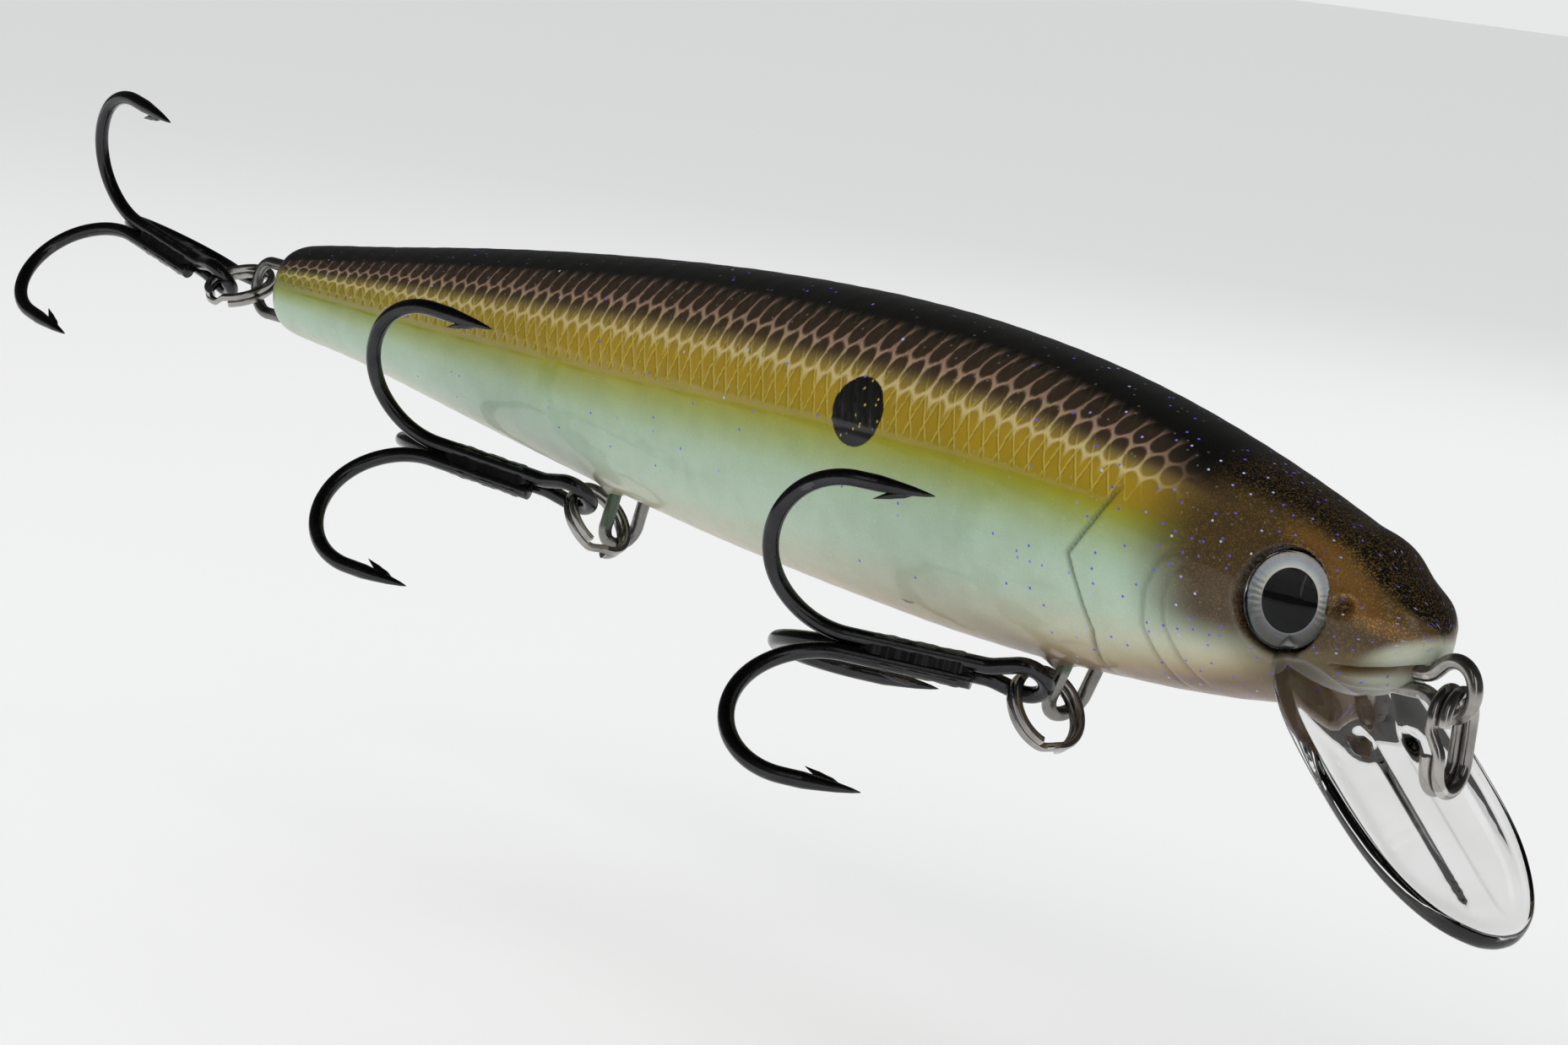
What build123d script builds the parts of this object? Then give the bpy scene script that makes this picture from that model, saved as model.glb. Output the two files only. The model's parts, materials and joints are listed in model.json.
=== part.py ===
from build123d import *
import os
import math

os.makedirs("parts", exist_ok=True)

# ---------------------------------------------------------------- frame
# Millimetres. +X towards the nose, +Y towards the lure's left flank, +Z up.
# The dimensions below are taken from the front of the snout on the parting plane; every
# piece is written with the origin at the centre of the line-tie loop (see save()).

# ---------------------------------------------------------------- driving dimensions
BODY_LENGTH = 120.0          # snout to tail end
SECTION_EXP = 2.25           # superellipse exponent of every body section
# station x, top z, bottom z, half width
STATIONS = [
    (-0.25, -1.45, -3.20, 0.95),
    (-1.2, -0.55, -4.45, 2.15),
    (-2.6, 0.34, -5.56, 2.98),
    (-4.4, 1.28, -6.50, 3.66),
    (-6.6, 2.27, -7.33, 4.31),
    (-9.4, 3.28, -8.05, 4.83),
    (-13.0, 4.37, -8.67, 5.25),
    (-17.5, 5.57, -9.18, 5.82),
    (-23.0, 6.79, -9.58, 6.42),
    (-30.0, 8.00, -9.94, 6.76),
    (-38.0, 8.85, -10.00, 6.98),
    (-47.0, 9.27, -9.71, 7.10),
    (-56.0, 9.21, -9.28, 6.90),
    (-65.0, 8.84, -8.70, 6.44),
    (-74.0, 8.20, -7.95, 5.95),
    (-83.0, 7.38, -7.07, 5.44),
    (-92.0, 6.41, -6.10, 4.88),
    (-100.0, 5.42, -5.20, 4.27),
    (-107.5, 4.43, -4.42, 3.57),
    (-113.5, 3.69, -3.97, 3.07),
    (-117.2, 3.18, -3.72, 2.79),
    (-119.0, 2.62, -3.32, 2.40),
    (-119.8, 1.95, -2.75, 1.85),
]
WALL = 1.30                  # shell wall thickness
CAVITY_FRONT = -15.0
CAVITY_REAR = -111.5
PIN_D = 1.6                  # locating pin diameter

BULKHEAD_FRONT = (-33.6, -25.6)     # carries the front belly hanger
BULKHEAD_REAR = (-79.6, -71.6)      # carries the rear belly hanger
WEIGHT_BLOCK_1 = (-25.6, -15.0)
WEIGHT_BLOCK_2 = (-46.5, -33.6)
KEEL_WEIGHT_D = 4.4
KEEL_WEIGHT_1 = (-20.2, -5.6, 7.6)  # x, z, length across
KEEL_WEIGHT_2 = (-40.0, -6.2, 8.8)
TUNNEL_D = 4.2               # tunnel of the moving weight
TUNNEL_WALL = 0.8
TUNNEL_X = (-106.6, -79.0)
TUNNEL_Z = 0.15
BALL_D = 3.8
BALL_X = (-82.6, -86.45, -90.3)

EYE_C = (-8.26, -4.55, -1.89)       # centre of the right eye on the flank
EYE_YAW = 11.0               # eye axis turned towards the nose
EYE_PITCH = 5.0              # and upwards
EYE_SOCKET_D = 5.90
EYE_LENS_D = 5.52
EYE_DISC_D = 5.50
EYE_DISC_T = 0.35
EYE_DEPTH = 1.25             # socket floor below the eye centre
EYE_RIM = 0.55               # straight edge of the lens
EYE_DOME = 1.15              # crown height above the straight edge

BILL_ANGLE = 38.9            # bill slopes down and forward
BILL_ROOT = (-4.157, -7.93)  # point of the spine line under the chin
BILL_T = 1.20                # rim thickness
# distance along the spine from BILL_ROOT, half width
BILL_OUTLINE = [(-5.2, 3.2), (-3.6, 5.0), (-1.4, 6.0), (1.4, 6.35), (4.3, 6.40), (7.0, 6.25),
                (9.2, 5.85), (11.0, 5.20), (12.5, 4.35), (13.7, 3.30), (14.5, 2.20), (15.0, 1.10)]
BILL_TIP = 15.15
BILL_RIM_H = 0.15            # rim height above the spine line
BILL_DISH = 0.45             # depth of the hollow in the upper face
BILL_DISH_R = 28.5
BILL_SPINE_W = 2.3
BILL_TAB = (5.6, 2.2, 4.6)   # tab in the head: width, thickness, height

WIRE_TIE = 0.90              # line-tie wire
TIE_SLOT = 1.06              # slot in the bill root for the wire
TIE_C = (1.24, -4.93)        # centre of the line-tie loop (x, z)
TIE_R = 1.52                 # centreline radius
TIE_PEG_C = (-12.6, -5.6)    # moulded peg that holds the inner eye
TIE_PEG_R = 1.15             # centreline radius of the inner eye

WIRE_HANGER = 0.90
# front and rear belly hangers: loop centre x, z, centreline radius, backward lean, turn
HANGER_FRONT = (-29.40, -11.86, 1.40, 22.8, -3.0)
HANGER_REAR = (-75.72, -10.21, 1.365, 14.0, -3.3)
HANGER_EMBED = 5.6           # length of the legs above the loop centre
TAIL_HANGER = (-123.29, -0.84, 1.90)   # loop centre x, z, centreline radius
TAIL_HANGER_EMBED = 7.4

RING_OD = 5.40               # split rings
RING_STRAND = 0.50           # flattened wire, across and along the axis
RING_PITCH = 0.53
OVAL_WIRE = 0.72             # oval ring on the line tie
OVAL_HALF_W = 1.62           # centreline half width
OVAL_LEN = 5.65              # centreline length
OVAL_PITCH = 0.76

HOOK_WIRE = 1.03             # treble hooks
HOOK_R0 = 0.64               # wire centre off the shank axis
HOOK_SHANK = 11.34
HOOK_BEND = ((5.74, 50.3), (4.74, 129.7))
HOOK_POINT = 4.82
HOOK_TAPER = 3.5
HOOK_EYE_R = 1.32
HOOK_EYE_TAPER = 22.0
HOOK_EYE_NECK = 2.0

# resting attitude of each hook set: ring centre, ring axis, hook eye centre, shank direction,
# direction across the hook eye
SETS = {
    "front": dict(ring_c=(-28.72, -2.21, -12.61), ring_n=(0.837, 0.035, 0.545),
                  hang=(-29.36, 0.0, -11.78), eye=(-29.73, -3.73, -10.97),
                  a=(-0.791, -0.610, 0.052), w=(0.442, -0.510, 0.738), slip=0.332),
    "middle": dict(ring_c=(-75.210, -2.446, -9.810), ring_n=(0.7501, 0.2187, 0.6239),
                   hang=(-75.62, 0.0, -10.20), eye=(-76.066, -4.045, -8.235),
                   a=(-0.9065, -0.4047, 0.1191), w=(0.3789, -0.6545, 0.6548), slip=-0.024),
    "tail": dict(ring_c=(-125.72, -1.13, -1.06), ring_n=(0.131, -0.420, 0.898),
                 hang=(-123.56, 0.0, -0.84), eye=(-128.14, -1.49, -0.87),
                 a=(-0.972, -0.093, 0.215), w=(0.220, -0.679, 0.700), slip=-0.066),
}


def save(shape, name):
    """Write one piece with the line-tie centre as the origin."""
    export_step(Pos(-TIE_C[0], 0, -TIE_C[1]) * shape, "parts/" + name + ".step")


def vec(t):
    return Vector(*t)


# ---------------------------------------------------------------- body shell
def half_section(x, zt, zb, w, side):
    """Half of a body section on plane X = x, closed by the parting line."""
    zc, hh = (zt + zb) / 2.0, (zt - zb) / 2.0
    pts = []
    n = 12
    for i in range(n + 1):
        th = math.pi / 2 - math.pi * i / n
        c, s = math.cos(th), math.sin(th)
        y = w * (abs(c) ** (2 / SECTION_EXP))
        z = zc + hh * math.copysign(abs(s) ** (2 / SECTION_EXP), s)
        if i in (0, n):
            y = 0.0
        pts.append(Vector(x, side * y, z))
    sp = Edge.make_spline(pts, tangents=[Vector(0, side, 0), Vector(0, -side, 0)])
    ln = Edge.make_line(pts[-1], pts[0])
    return Wire([sp, ln])


def half_body(side, inset=0.0, x_front=1.0, x_rear=-200.0):
    st = []
    for (x, zt, zb, w) in STATIONS:
        if x_rear <= x <= x_front:
            st.append((x, zt - inset, zb + inset, w - inset))
    return st


def interp(x):
    """Top, bottom and half width at any x, linear between stations."""
    for (a, b) in zip(STATIONS[:-1], STATIONS[1:]):
        if b[0] <= x <= a[0]:
            t = (x - a[0]) / (b[0] - a[0])
            return [a[k] + t * (b[k] - a[k]) for k in (1, 2, 3)]
    return STATIONS[-1][1:]


def outer_half(side):
    wires = [half_section(x, zt, zb, w, side) for (x, zt, zb, w) in STATIONS]
    return Solid.make_loft(wires, False)


def cavity_half(side):
    xs = [CAVITY_FRONT, -22.0, -34.0, -48.0, -64.0, -82.0, -100.0, CAVITY_REAR]
    wires = []
    for x in xs:
        zt, zb, w = interp(x)
        wires.append(half_section(x, zt - WALL, zb + WALL, w - WALL * 0.95, side))
    return Solid.make_loft(wires, False)


def box(x0, x1, y0, y1, z0, z1):
    return Pos((x0 + x1) / 2, (y0 + y1) / 2, (z0 + z1) / 2) * Box(abs(x1 - x0), abs(y1 - y0), abs(z1 - z0))


def cyl(centre, direction, radius, length):
    """Cylinder centred on a point."""
    pl = Plane(origin=vec(centre), z_dir=vec(direction))
    return pl * Cylinder(radius, length)


# ---------------------------------------------------------------- eye frame
def eye_plane(side):
    yaw, pit = math.radians(EYE_YAW), math.radians(EYE_PITCH)
    n = Vector(math.sin(yaw) * math.cos(pit), side * math.cos(yaw) * math.cos(pit), math.sin(pit))
    c = Vector(EYE_C[0], side * abs(EYE_C[1]), EYE_C[2])
    return Plane(origin=c, x_dir=Vector(0, 0, 1).cross(n), z_dir=n)


# ---------------------------------------------------------------- wires
def wire_solid(path, d):
    """Round wire along a smooth path."""
    start = path.position_at(0)
    tan = path.tangent_at(0)
    prof = Wire.make_circle(d / 2, Plane(origin=start, z_dir=tan))
    return Solid.sweep(Face(prof), path)


def loop_path(pt, r, leg, lean_dir, across):
    """Closed racetrack: outer half circle of radius r about pt, two legs, inner half circle."""
    c = vec(pt)
    L, H = vec(lean_dir), vec(across)
    c2 = c - L * leg
    e = [
        ThreePointArc(c - H * r, c + L * r, c + H * r),
        Line(c + H * r, c2 + H * r),
        ThreePointArc(c2 + H * r, c2 - L * r, c2 - H * r),
        Line(c2 - H * r, c - H * r),
    ]
    return Wire([x.edge() for x in e])


def belly_axes(lean, turn):
    t, p = math.radians(lean), math.radians(turn)
    L = Vector(-math.sin(t), 0, -math.cos(t))
    H = Vector(math.sin(p), math.cos(p), 0)
    n = H.cross(L)
    L = n.cross(H).normalized()
    return L, H


def belly_hanger(spec, grow=0.0):
    x, z, r, lean, turn = spec
    L, H = belly_axes(lean, turn)
    p = loop_path((x, 0, z), r, HANGER_EMBED, L, H)
    return wire_solid(p, WIRE_HANGER + 2 * grow)


def belly_pocket(spec, side):
    """Moulded pocket of a belly hanger in one shell half: a bore for the leg
    and a ring-shaped pocket for the inner end, round a peg that holds it."""
    x, z, r, lean, turn = spec
    L, H = belly_axes(lean, turn)
    c = Vector(x, 0, z)
    c2 = c - L * HANGER_EMBED
    n = H.cross(L)
    g = WIRE_HANGER / 2 + 0.03
    leg_side = H * (r * (1 if H.Y * side > 0 else -1))
    leg = cyl(c + leg_side - L * (HANGER_EMBED / 2), L, g, HANGER_EMBED + 0.4)
    ring = cyl(c2, n, r + g + 0.06, 2 * g + 0.14) - cyl(c2, n, r - g - 0.06, 4.0)
    return leg, ring


def tail_hanger(grow=0.0):
    x, z, r = TAIL_HANGER
    p = loop_path((x, 0, z), r, TAIL_HANGER_EMBED, (-1, 0, 0), (0, 0, 1))
    return wire_solid(p, WIRE_HANGER + 2 * grow)


def line_tie(grow=0.0):
    """Figure-8 wire: outer loop, waist between the jaws, inner eye round a moulded peg."""
    c = Vector(TIE_C[0], 0, TIE_C[1])
    q = Vector(TIE_PEG_C[0], 0, TIE_PEG_C[1])
    ax = (q - c)
    dist = ax.length
    u = ax.normalized()
    v = Vector(-u.Z, 0, u.X)          # in-plane, square to u
    if v.Z < 0:
        v = v * -1
    sep = 0.50                        # half separation of the wires at the waist

    def side(sgn):
        return lambda s, t: c + u * s + v * (t * sgn)

    g = math.radians(40)
    up, dn = side(1), side(-1)
    # outer loop leaves tangentially and bends back onto the waist lines
    Rr = 1.6
    lc = (TIE_R * math.cos(g) - sep - Rr * (1 - math.cos(g))) / math.sin(g)
    s1 = TIE_R * math.sin(g)
    s2 = s1 + lc * math.cos(g)
    s3 = s2 + Rr * math.sin(g)
    tmid = sep + Rr * (1 - math.cos(g / 2))
    smid = s3 - Rr * math.sin(g / 2)
    # inner eye mirrored
    g2 = math.radians(35)
    R2 = TIE_PEG_R
    Rr2 = 1.6
    lc2 = (R2 * math.cos(g2) - sep - Rr2 * (1 - math.cos(g2))) / math.sin(g2)
    d1 = dist - R2 * math.sin(g2)
    d2 = d1 - lc2 * math.cos(g2)
    d3 = d2 - Rr2 * math.sin(g2)
    edges = []

    def add(e):
        edges.append(e.edge())

    f = up
    add(ThreePointArc(dn(s1, TIE_R * math.cos(g)), c - u * TIE_R, up(s1, TIE_R * math.cos(g))))
    add(Line(up(s1, TIE_R * math.cos(g)), up(s2, sep + Rr * (1 - math.cos(g)))))
    add(ThreePointArc(up(s2, sep + Rr * (1 - math.cos(g))), up(smid, tmid), up(s3, sep)))
    add(Line(up(s3, sep), up(d3, sep)))
    add(ThreePointArc(up(d3, sep), up(d3 + Rr2 * math.sin(g2 / 2), sep + Rr2 * (1 - math.cos(g2 / 2))),
                      up(d2, sep + Rr2 * (1 - math.cos(g2)))))
    add(Line(up(d2, sep + Rr2 * (1 - math.cos(g2))), up(d1, R2 * math.cos(g2))))
    add(ThreePointArc(up(d1, R2 * math.cos(g2)), q + u * R2, dn(d1, R2 * math.cos(g2))))
    add(Line(dn(d1, R2 * math.cos(g2)), dn(d2, sep + Rr2 * (1 - math.cos(g2)))))
    add(ThreePointArc(dn(d2, sep + Rr2 * (1 - math.cos(g2))),
                      dn(d3 + Rr2 * math.sin(g2 / 2), sep + Rr2 * (1 - math.cos(g2 / 2))), dn(d3, sep)))
    add(Line(dn(d3, sep), dn(s3, sep)))
    add(ThreePointArc(dn(s3, sep), dn(smid, tmid), dn(s2, sep + Rr * (1 - math.cos(g)))))
    add(Line(dn(s2, sep + Rr * (1 - math.cos(g))), dn(s1, TIE_R * math.cos(g))))
    return wire_solid(Wire(edges), WIRE_TIE + 2 * grow)


# ---------------------------------------------------------------- diving bill
def bill_plane():
    a = math.radians(BILL_ANGLE)
    e = Vector(math.cos(a), 0, -math.sin(a))       # down the bill
    n = Vector(math.sin(a), 0, math.cos(a))        # off its upper face
    return Plane(origin=Vector(BILL_ROOT[0], 0, BILL_ROOT[1]), x_dir=e, z_dir=n), e, n


def bill_outline_wire(shrink=0.0, h=0.0, s_from=-99.0):
    pl, e, n = bill_plane()
    o = pl.origin
    pts = [(s, w - shrink) for s, w in BILL_OUTLINE if s >= s_from]
    up = [o + e * s + Vector(0, w, 0) + n * h for s, w in pts]
    tip = o + e * (BILL_TIP - shrink) + n * h
    dn = [o + e * s + Vector(0, -w, 0) + n * h for s, w in reversed(pts)]
    sp = Edge.make_spline(up + [tip] + dn)
    ln = Edge.make_line(dn[-1], up[0])
    return Wire([sp, ln])


def bill():
    pl, e, n = bill_plane()
    o = pl.origin
    # plate with a rounded rim
    t = BILL_RIM_H
    layers = [(0.40, t), (0.12, t - 0.20), (0.0, t - 0.5 * BILL_T), (0.12, t + 0.20 - BILL_T), (0.40, t - BILL_T)]
    plate = Part() + Solid.make_loft([bill_outline_wire(s, h) for s, h in layers], True)
    # shallow hollow in the upper face
    hc = BILL_RIM_H + BILL_DISH_R - BILL_DISH
    trough = cyl(tuple(o + e * 3.0 + n * hc), tuple(e), BILL_DISH_R, 11.6)
    nose = Pos(*tuple(o + e * 8.8 + n * hc)) * Sphere(BILL_DISH_R)
    keep = pl * (Pos(3.0, 0, 0) * Box(40, 11.6, 6))
    plate = plate - ((trough + nose) & keep)
    # raised spine down the middle of the upper face
    spine = pl * (Pos(6.3, 0, -0.5) * Box(15.4, BILL_SPINE_W, 1.0))

    # flared root that climbs to the chin
    def oval(s0, s1, w, h):
        c = o + e * ((s0 + s1) / 2) + n * h
        return Wire.make_ellipse((s1 - s0) / 2, w, Plane(origin=c, x_dir=e, z_dir=n))

    flare = Solid.make_loft([oval(-5.0, 3.4, 5.9, -0.5), oval(-4.6, 2.4, 5.0, 0.5),
                             oval(-4.0, 1.4, 4.3, 1.6), oval(-3.6, 0.8, 3.9, 2.6)], False)
    tw, tt, th = BILL_TAB
    tab = box(-7.9, -7.9 + tt, -tw / 2, tw / 2, -8.2, -8.2 + th)
    # slot that lets the line-tie wire through the root
    slot = box(-9.5, 1.0, -TIE_SLOT / 2, TIE_SLOT / 2, -7.45, -2.8)
    return plate + spine + flare + tab - slot


def bill_pocket(g=0.05):
    """Seat of the bill in the body halves: plate, flared root and tab, each with clearance."""
    pl, e, n = bill_plane()
    o = pl.origin
    t = BILL_RIM_H
    plate = Solid.extrude(Face(bill_outline_wire(-g, t - BILL_T - g)), n * (BILL_T + 2 * g))

    def ring(s, a, b, h, m=24):
        k = 1.0 / math.cos(math.pi / m)
        pts = [o + e * (s + (a + 0.12) * k * math.cos(2 * math.pi * i / m)) + n * h
               + Vector(0, (b + 0.10) * k * math.sin(2 * math.pi * i / m), 0) for i in range(m)]
        return Wire.make_polygon(pts, close=True)

    flare = Solid.make_loft([ring(-0.8, 4.2, 5.9, -0.5), ring(-1.4, 2.2, 3.9, 2.6 + g)], True)
    tw, tt, th = BILL_TAB
    tab = box(-7.9 - g, -7.9 + tt + g, -tw / 2 - g, tw / 2 + g, -8.2, -8.2 + th + g)
    return plate, flare, tab


# ---------------------------------------------------------------- split ring
def ring_frame(c, n):
    return Plane(origin=vec(c), z_dir=vec(n))


def flat_coil(path_pts, axis, w_rad, w_ax, first_dir):
    sp = Edge.make_spline(path_pts)
    start, tan = path_pts[0], sp.tangent_at(0)
    return sp, start, tan


def split_ring(c, n, hang, eye):
    """Two turns of flattened wire; the step between the turns sits away from both links."""
    pl = ring_frame(c, n)
    r = RING_OD / 2 - RING_STRAND / 2
    hl = pl.to_local_coords(vec(hang))
    el = pl.to_local_coords(vec(eye))
    # put the step in the middle of the longer free arc
    a1, a2 = math.degrees(math.atan2(hl.Y, hl.X)) % 360, math.degrees(math.atan2(el.Y, el.X)) % 360
    lo, hi = min(a1, a2), max(a1, a2)
    mid = (lo + hi) / 2 if (hi - lo) > 180 else ((lo + hi) / 2 + 180) % 360
    j = 13.0                                   # half angle of the step
    gap = 5.0
    pts = []
    # lower turn, step, upper turn
    a = j + gap
    seq = []
    while a < 360 - j:
        seq.append((a, -0.5))
        a += 9.0
    for k in range(0, 7):
        t = k / 6.0
        seq.append((360 - j + 2 * j * t, -0.5 + (3 * t * t - 2 * t ** 3)))
    a = 360 + j + 9.0
    while a < 720 - j - gap:
        seq.append((a, 0.5))
        a += 9.0
    seq.append((720 - j - gap, 0.5))
    for ang, z in seq:
        t = math.radians(mid + ang)
        pts.append(pl.from_local_coords(Vector(r * math.cos(t), r * math.sin(t), z * RING_PITCH)))
    sp = Edge.make_spline(pts)
    tan = sp.tangent_at(0)
    t0 = math.radians(mid + seq[0][0])
    xd = pl.x_dir * math.cos(t0) + pl.y_dir * math.sin(t0)
    prof_pl = Plane(origin=pts[0], x_dir=xd, z_dir=tan)
    prof = prof_pl * RectangleRounded(RING_STRAND, RING_STRAND, 0.13)
    guide = Edge.make_spline([p + pl.z_dir * 1.0 for p in pts])
    return Solid.sweep(prof.face(), Wire([sp]), mode=Wire([guide]))


def oval_ring(grow=0.0):
    """Round wire, two turns of a racetrack, hanging in the line-tie loop."""
    top_in = Vector(TIE_C[0] + 0.18, 0, TIE_C[1] - 0.05)       # centre of the wire bundle in the loop
    yaw = math.radians(16)
    n = Vector(math.cos(yaw), math.sin(yaw), 0.0)
    w = Vector(-math.sin(yaw), math.cos(yaw), 0.0)
    d = Vector(0.0, 0.0, -1.0)
    R = OVAL_HALF_W
    L = OVAL_LEN - 2 * R                                        # straight length
    c_top = top_in + d * R
    half = OVAL_PITCH / 2

    def P(side, s, lane):
        return c_top + w * (side * R) + d * s + n * (lane * half)

    def arc_top(lane):
        return ThreePointArc(P(1, 0, lane), c_top - d * R + n * (lane * half), P(-1, 0, lane)).edge()

    def arc_bot(lane):
        return ThreePointArc(P(-1, L, lane), c_top + d * (L + R) + n * (lane * half), P(1, L, lane)).edge()

    # near limb (side -1): lower end in the rear lane, round the bottom, up the far limb, over the top,
    # across to the front lane on the near limb, then once more round
    cross = Edge.make_spline([P(-1, 0.12 * L, -1), P(-1, 0.5 * L, 0), P(-1, 0.88 * L, 1)], tangents=[d, d])
    edges = [Line(P(-1, 0.80 * L, -1), P(-1, L, -1)).edge(), arc_bot(-1), Line(P(1, L, -1), P(1, 0, -1)).edge(),
             arc_top(-1), Line(P(-1, 0, -1), P(-1, 0.12 * L, -1)).edge(), cross,
             Line(P(-1, 0.88 * L, 1), P(-1, L, 1)).edge(), arc_bot(1), Line(P(1, L, 1), P(1, 0, 1)).edge(),
             arc_top(1), Line(P(-1, 0, 1), P(-1, 0.10 * L, 1)).edge()]
    return wire_solid(Wire(edges), OVAL_WIRE), top_in, w


# ---------------------------------------------------------------- treble hook
def treble_frame(spec):
    a = vec(spec["a"]).normalized()
    w = vec(spec["w"])
    w = (w - a * w.dot(a)).normalized()
    nb = a.cross(w)                      # square to the eye plane
    # hook directions round the shank: A and C share the eye wire, B is the single hook
    return a, w, nb


def hook_dirs(spec, sign):
    a, w, nb = treble_frame(spec)
    rB = nb * sign
    h = math.sqrt(3) / 2
    rA = rB * -0.5 + w * h
    rC = rB * -0.5 - w * h
    return rA, rB, rC


def arm_edges(E, a, rd, s_start):
    """Shank line, two-radius bend and point line of one hook."""
    r0 = HOOK_R0

    def P(s, r):
        return E + a * s + rd * r

    edges = [Line(P(s_start, r0), P(HOOK_SHANK, r0)).edge()]
    s, r, ang = HOOK_SHANK, r0, 0.0
    for R, sweep_a in HOOK_BEND:
        A = math.radians(sweep_a)
        cs, cr = s - R * math.sin(ang), r + R * math.cos(ang)
        m = ang + A / 2
        e = ang + A
        pm = P(cs + R * math.sin(m), cr - R * math.cos(m))
        pe = P(cs + R * math.sin(e), cr - R * math.cos(e))
        edges.append(ThreePointArc(P(s, r), pm, pe).edge())
        s, r, ang = cs + R * math.sin(e), cr - R * math.cos(e), e
    s2, r2 = s + (HOOK_POINT - HOOK_TAPER) * math.cos(ang), r + (HOOK_POINT - HOOK_TAPER) * math.sin(ang)
    edges.append(Line(P(s, r), P(s2, r2)).edge())
    tip_dir = a * math.cos(ang) + rd * math.sin(ang)
    return edges, P(s2, r2), tip_dir, P


def hook_tip(base, tip_dir, rd):
    """Tapered point with a barb cut from its inner side."""
    inward = rd * -1
    tip = base + tip_dir * HOOK_TAPER + inward * 0.06
    r = HOOK_WIRE / 2
    cone = Solid.make_loft([Wire.make_circle(r, Plane(origin=base, x_dir=inward, z_dir=tip_dir)),
                            Wire.make_ellipse(r * 0.74, r * 0.62, Plane(origin=base + tip_dir * HOOK_TAPER * 0.55 + inward * 0.05,
                                                                         x_dir=inward, z_dir=tip_dir)),
                            Wire.make_circle(0.05, Plane(origin=tip, x_dir=inward, z_dir=tip_dir))], False)
    # barb: thin wedge
    side = tip_dir.cross(inward).normalized()
    b0 = base + tip_dir * 2.15 + inward * 0.20
    b1 = base - tip_dir * 0.20 + inward * 1.02
    b2 = base + tip_dir * 0.35 + inward * 0.30
    t = 0.17
    tri = Wire.make_polygon([b0 - side * t, b1 - side * t, b2 - side * t], close=True)
    barb = Solid.extrude(Face(tri), side * (2 * t))
    return cone, barb


def treble(spec, sign):
    a, w, nb = treble_frame(spec)
    rA, rB, rC = hook_dirs(spec, sign)
    ec = vec(spec["eye"]) - a * spec["slip"]
    off = (rA + rC) * (HOOK_R0 / 2)
    E = ec - off - a * 0.4
    sc = 0.4
    g = math.radians(HOOK_EYE_TAPER)
    half = HOOK_R0 * math.sqrt(3) / 2
    Rr = HOOK_EYE_NECK
    lc = (HOOK_EYE_R * math.cos(g) - half - Rr * (1 - math.cos(g))) / math.sin(g)
    s1, v1 = HOOK_EYE_R * math.sin(g), HOOK_EYE_R * math.cos(g)
    s2, v2 = s1 + lc * math.cos(g), half + Rr * (1 - math.cos(g))
    s3 = s2 + Rr * math.sin(g)

    def Q(s, v):
        return ec + a * s + w * v

    def neck(sgn):
        return [
            Line(Q(s1, sgn * v1), Q(s2, sgn * v2)).edge(),
            ThreePointArc(Q(s2, sgn * v2), Q(s3 - Rr * math.sin(g / 2), sgn * (half + Rr * (1 - math.cos(g / 2)))),
                          Q(s3, sgn * half)).edge(),
        ]

    s_start = sc + s3
    eA, bA, dA, _ = arm_edges(E, a, rA, s_start)
    eC, bC, dC, _ = arm_edges(E, a, rC, s_start)
    eye_arc = ThreePointArc(Q(s1, -v1), Q(-HOOK_EYE_R, 0), Q(s1, v1)).edge()
    path = Wire(eC + neck(-1) + [eye_arc] + neck(1) + eA)
    prof = Face(Wire.make_circle(HOOK_WIRE / 2, Plane(origin=bA, z_dir=dA)))
    double = Solid.sweep(prof, path)
    for b, d, rd in ((bA, dA, rA), (bC, dC, rC)):
        cone, barb = hook_tip(b, d, rd)
        double = double + cone + barb
    eB, bB, dB, PB = arm_edges(E, a, rB, s_start + 0.5)
    single = Solid.sweep(Face(Wire.make_circle(HOOK_WIRE / 2, Plane(origin=bB, z_dir=dB))), Wire(eB))
    cone, barb = hook_tip(bB, dB, rB)
    single = single + cone + barb
    # braze filling the grooves between the three shanks
    b0, b1 = s_start + 0.7, HOOK_SHANK - 0.9
    rr = HOOK_WIRE / 2 * 0.86
    corners = []
    for rd, nx in ((rA, rB), (rB, rC), (rC, rA)):
        edge = (nx - rd).normalized()
        outw = ((rd + nx) * 0.5).normalized()
        corners.append(E + a * b0 + rd * HOOK_R0 + outw * rr)
        corners.append(E + a * b0 + nx * HOOK_R0 + outw * rr)
    hexa = Face(Wire.make_polygon(corners, close=True))
    braze = Solid.extrude(hexa, a * (b1 - b0))
    for rd in (rA, rB, rC):
        braze = braze - cyl(tuple(E + a * ((b0 + b1) / 2) + rd * HOOK_R0), tuple(a), HOOK_WIRE / 2 + 0.004, b1 - b0 + 4)
    return double, single, braze


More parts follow.
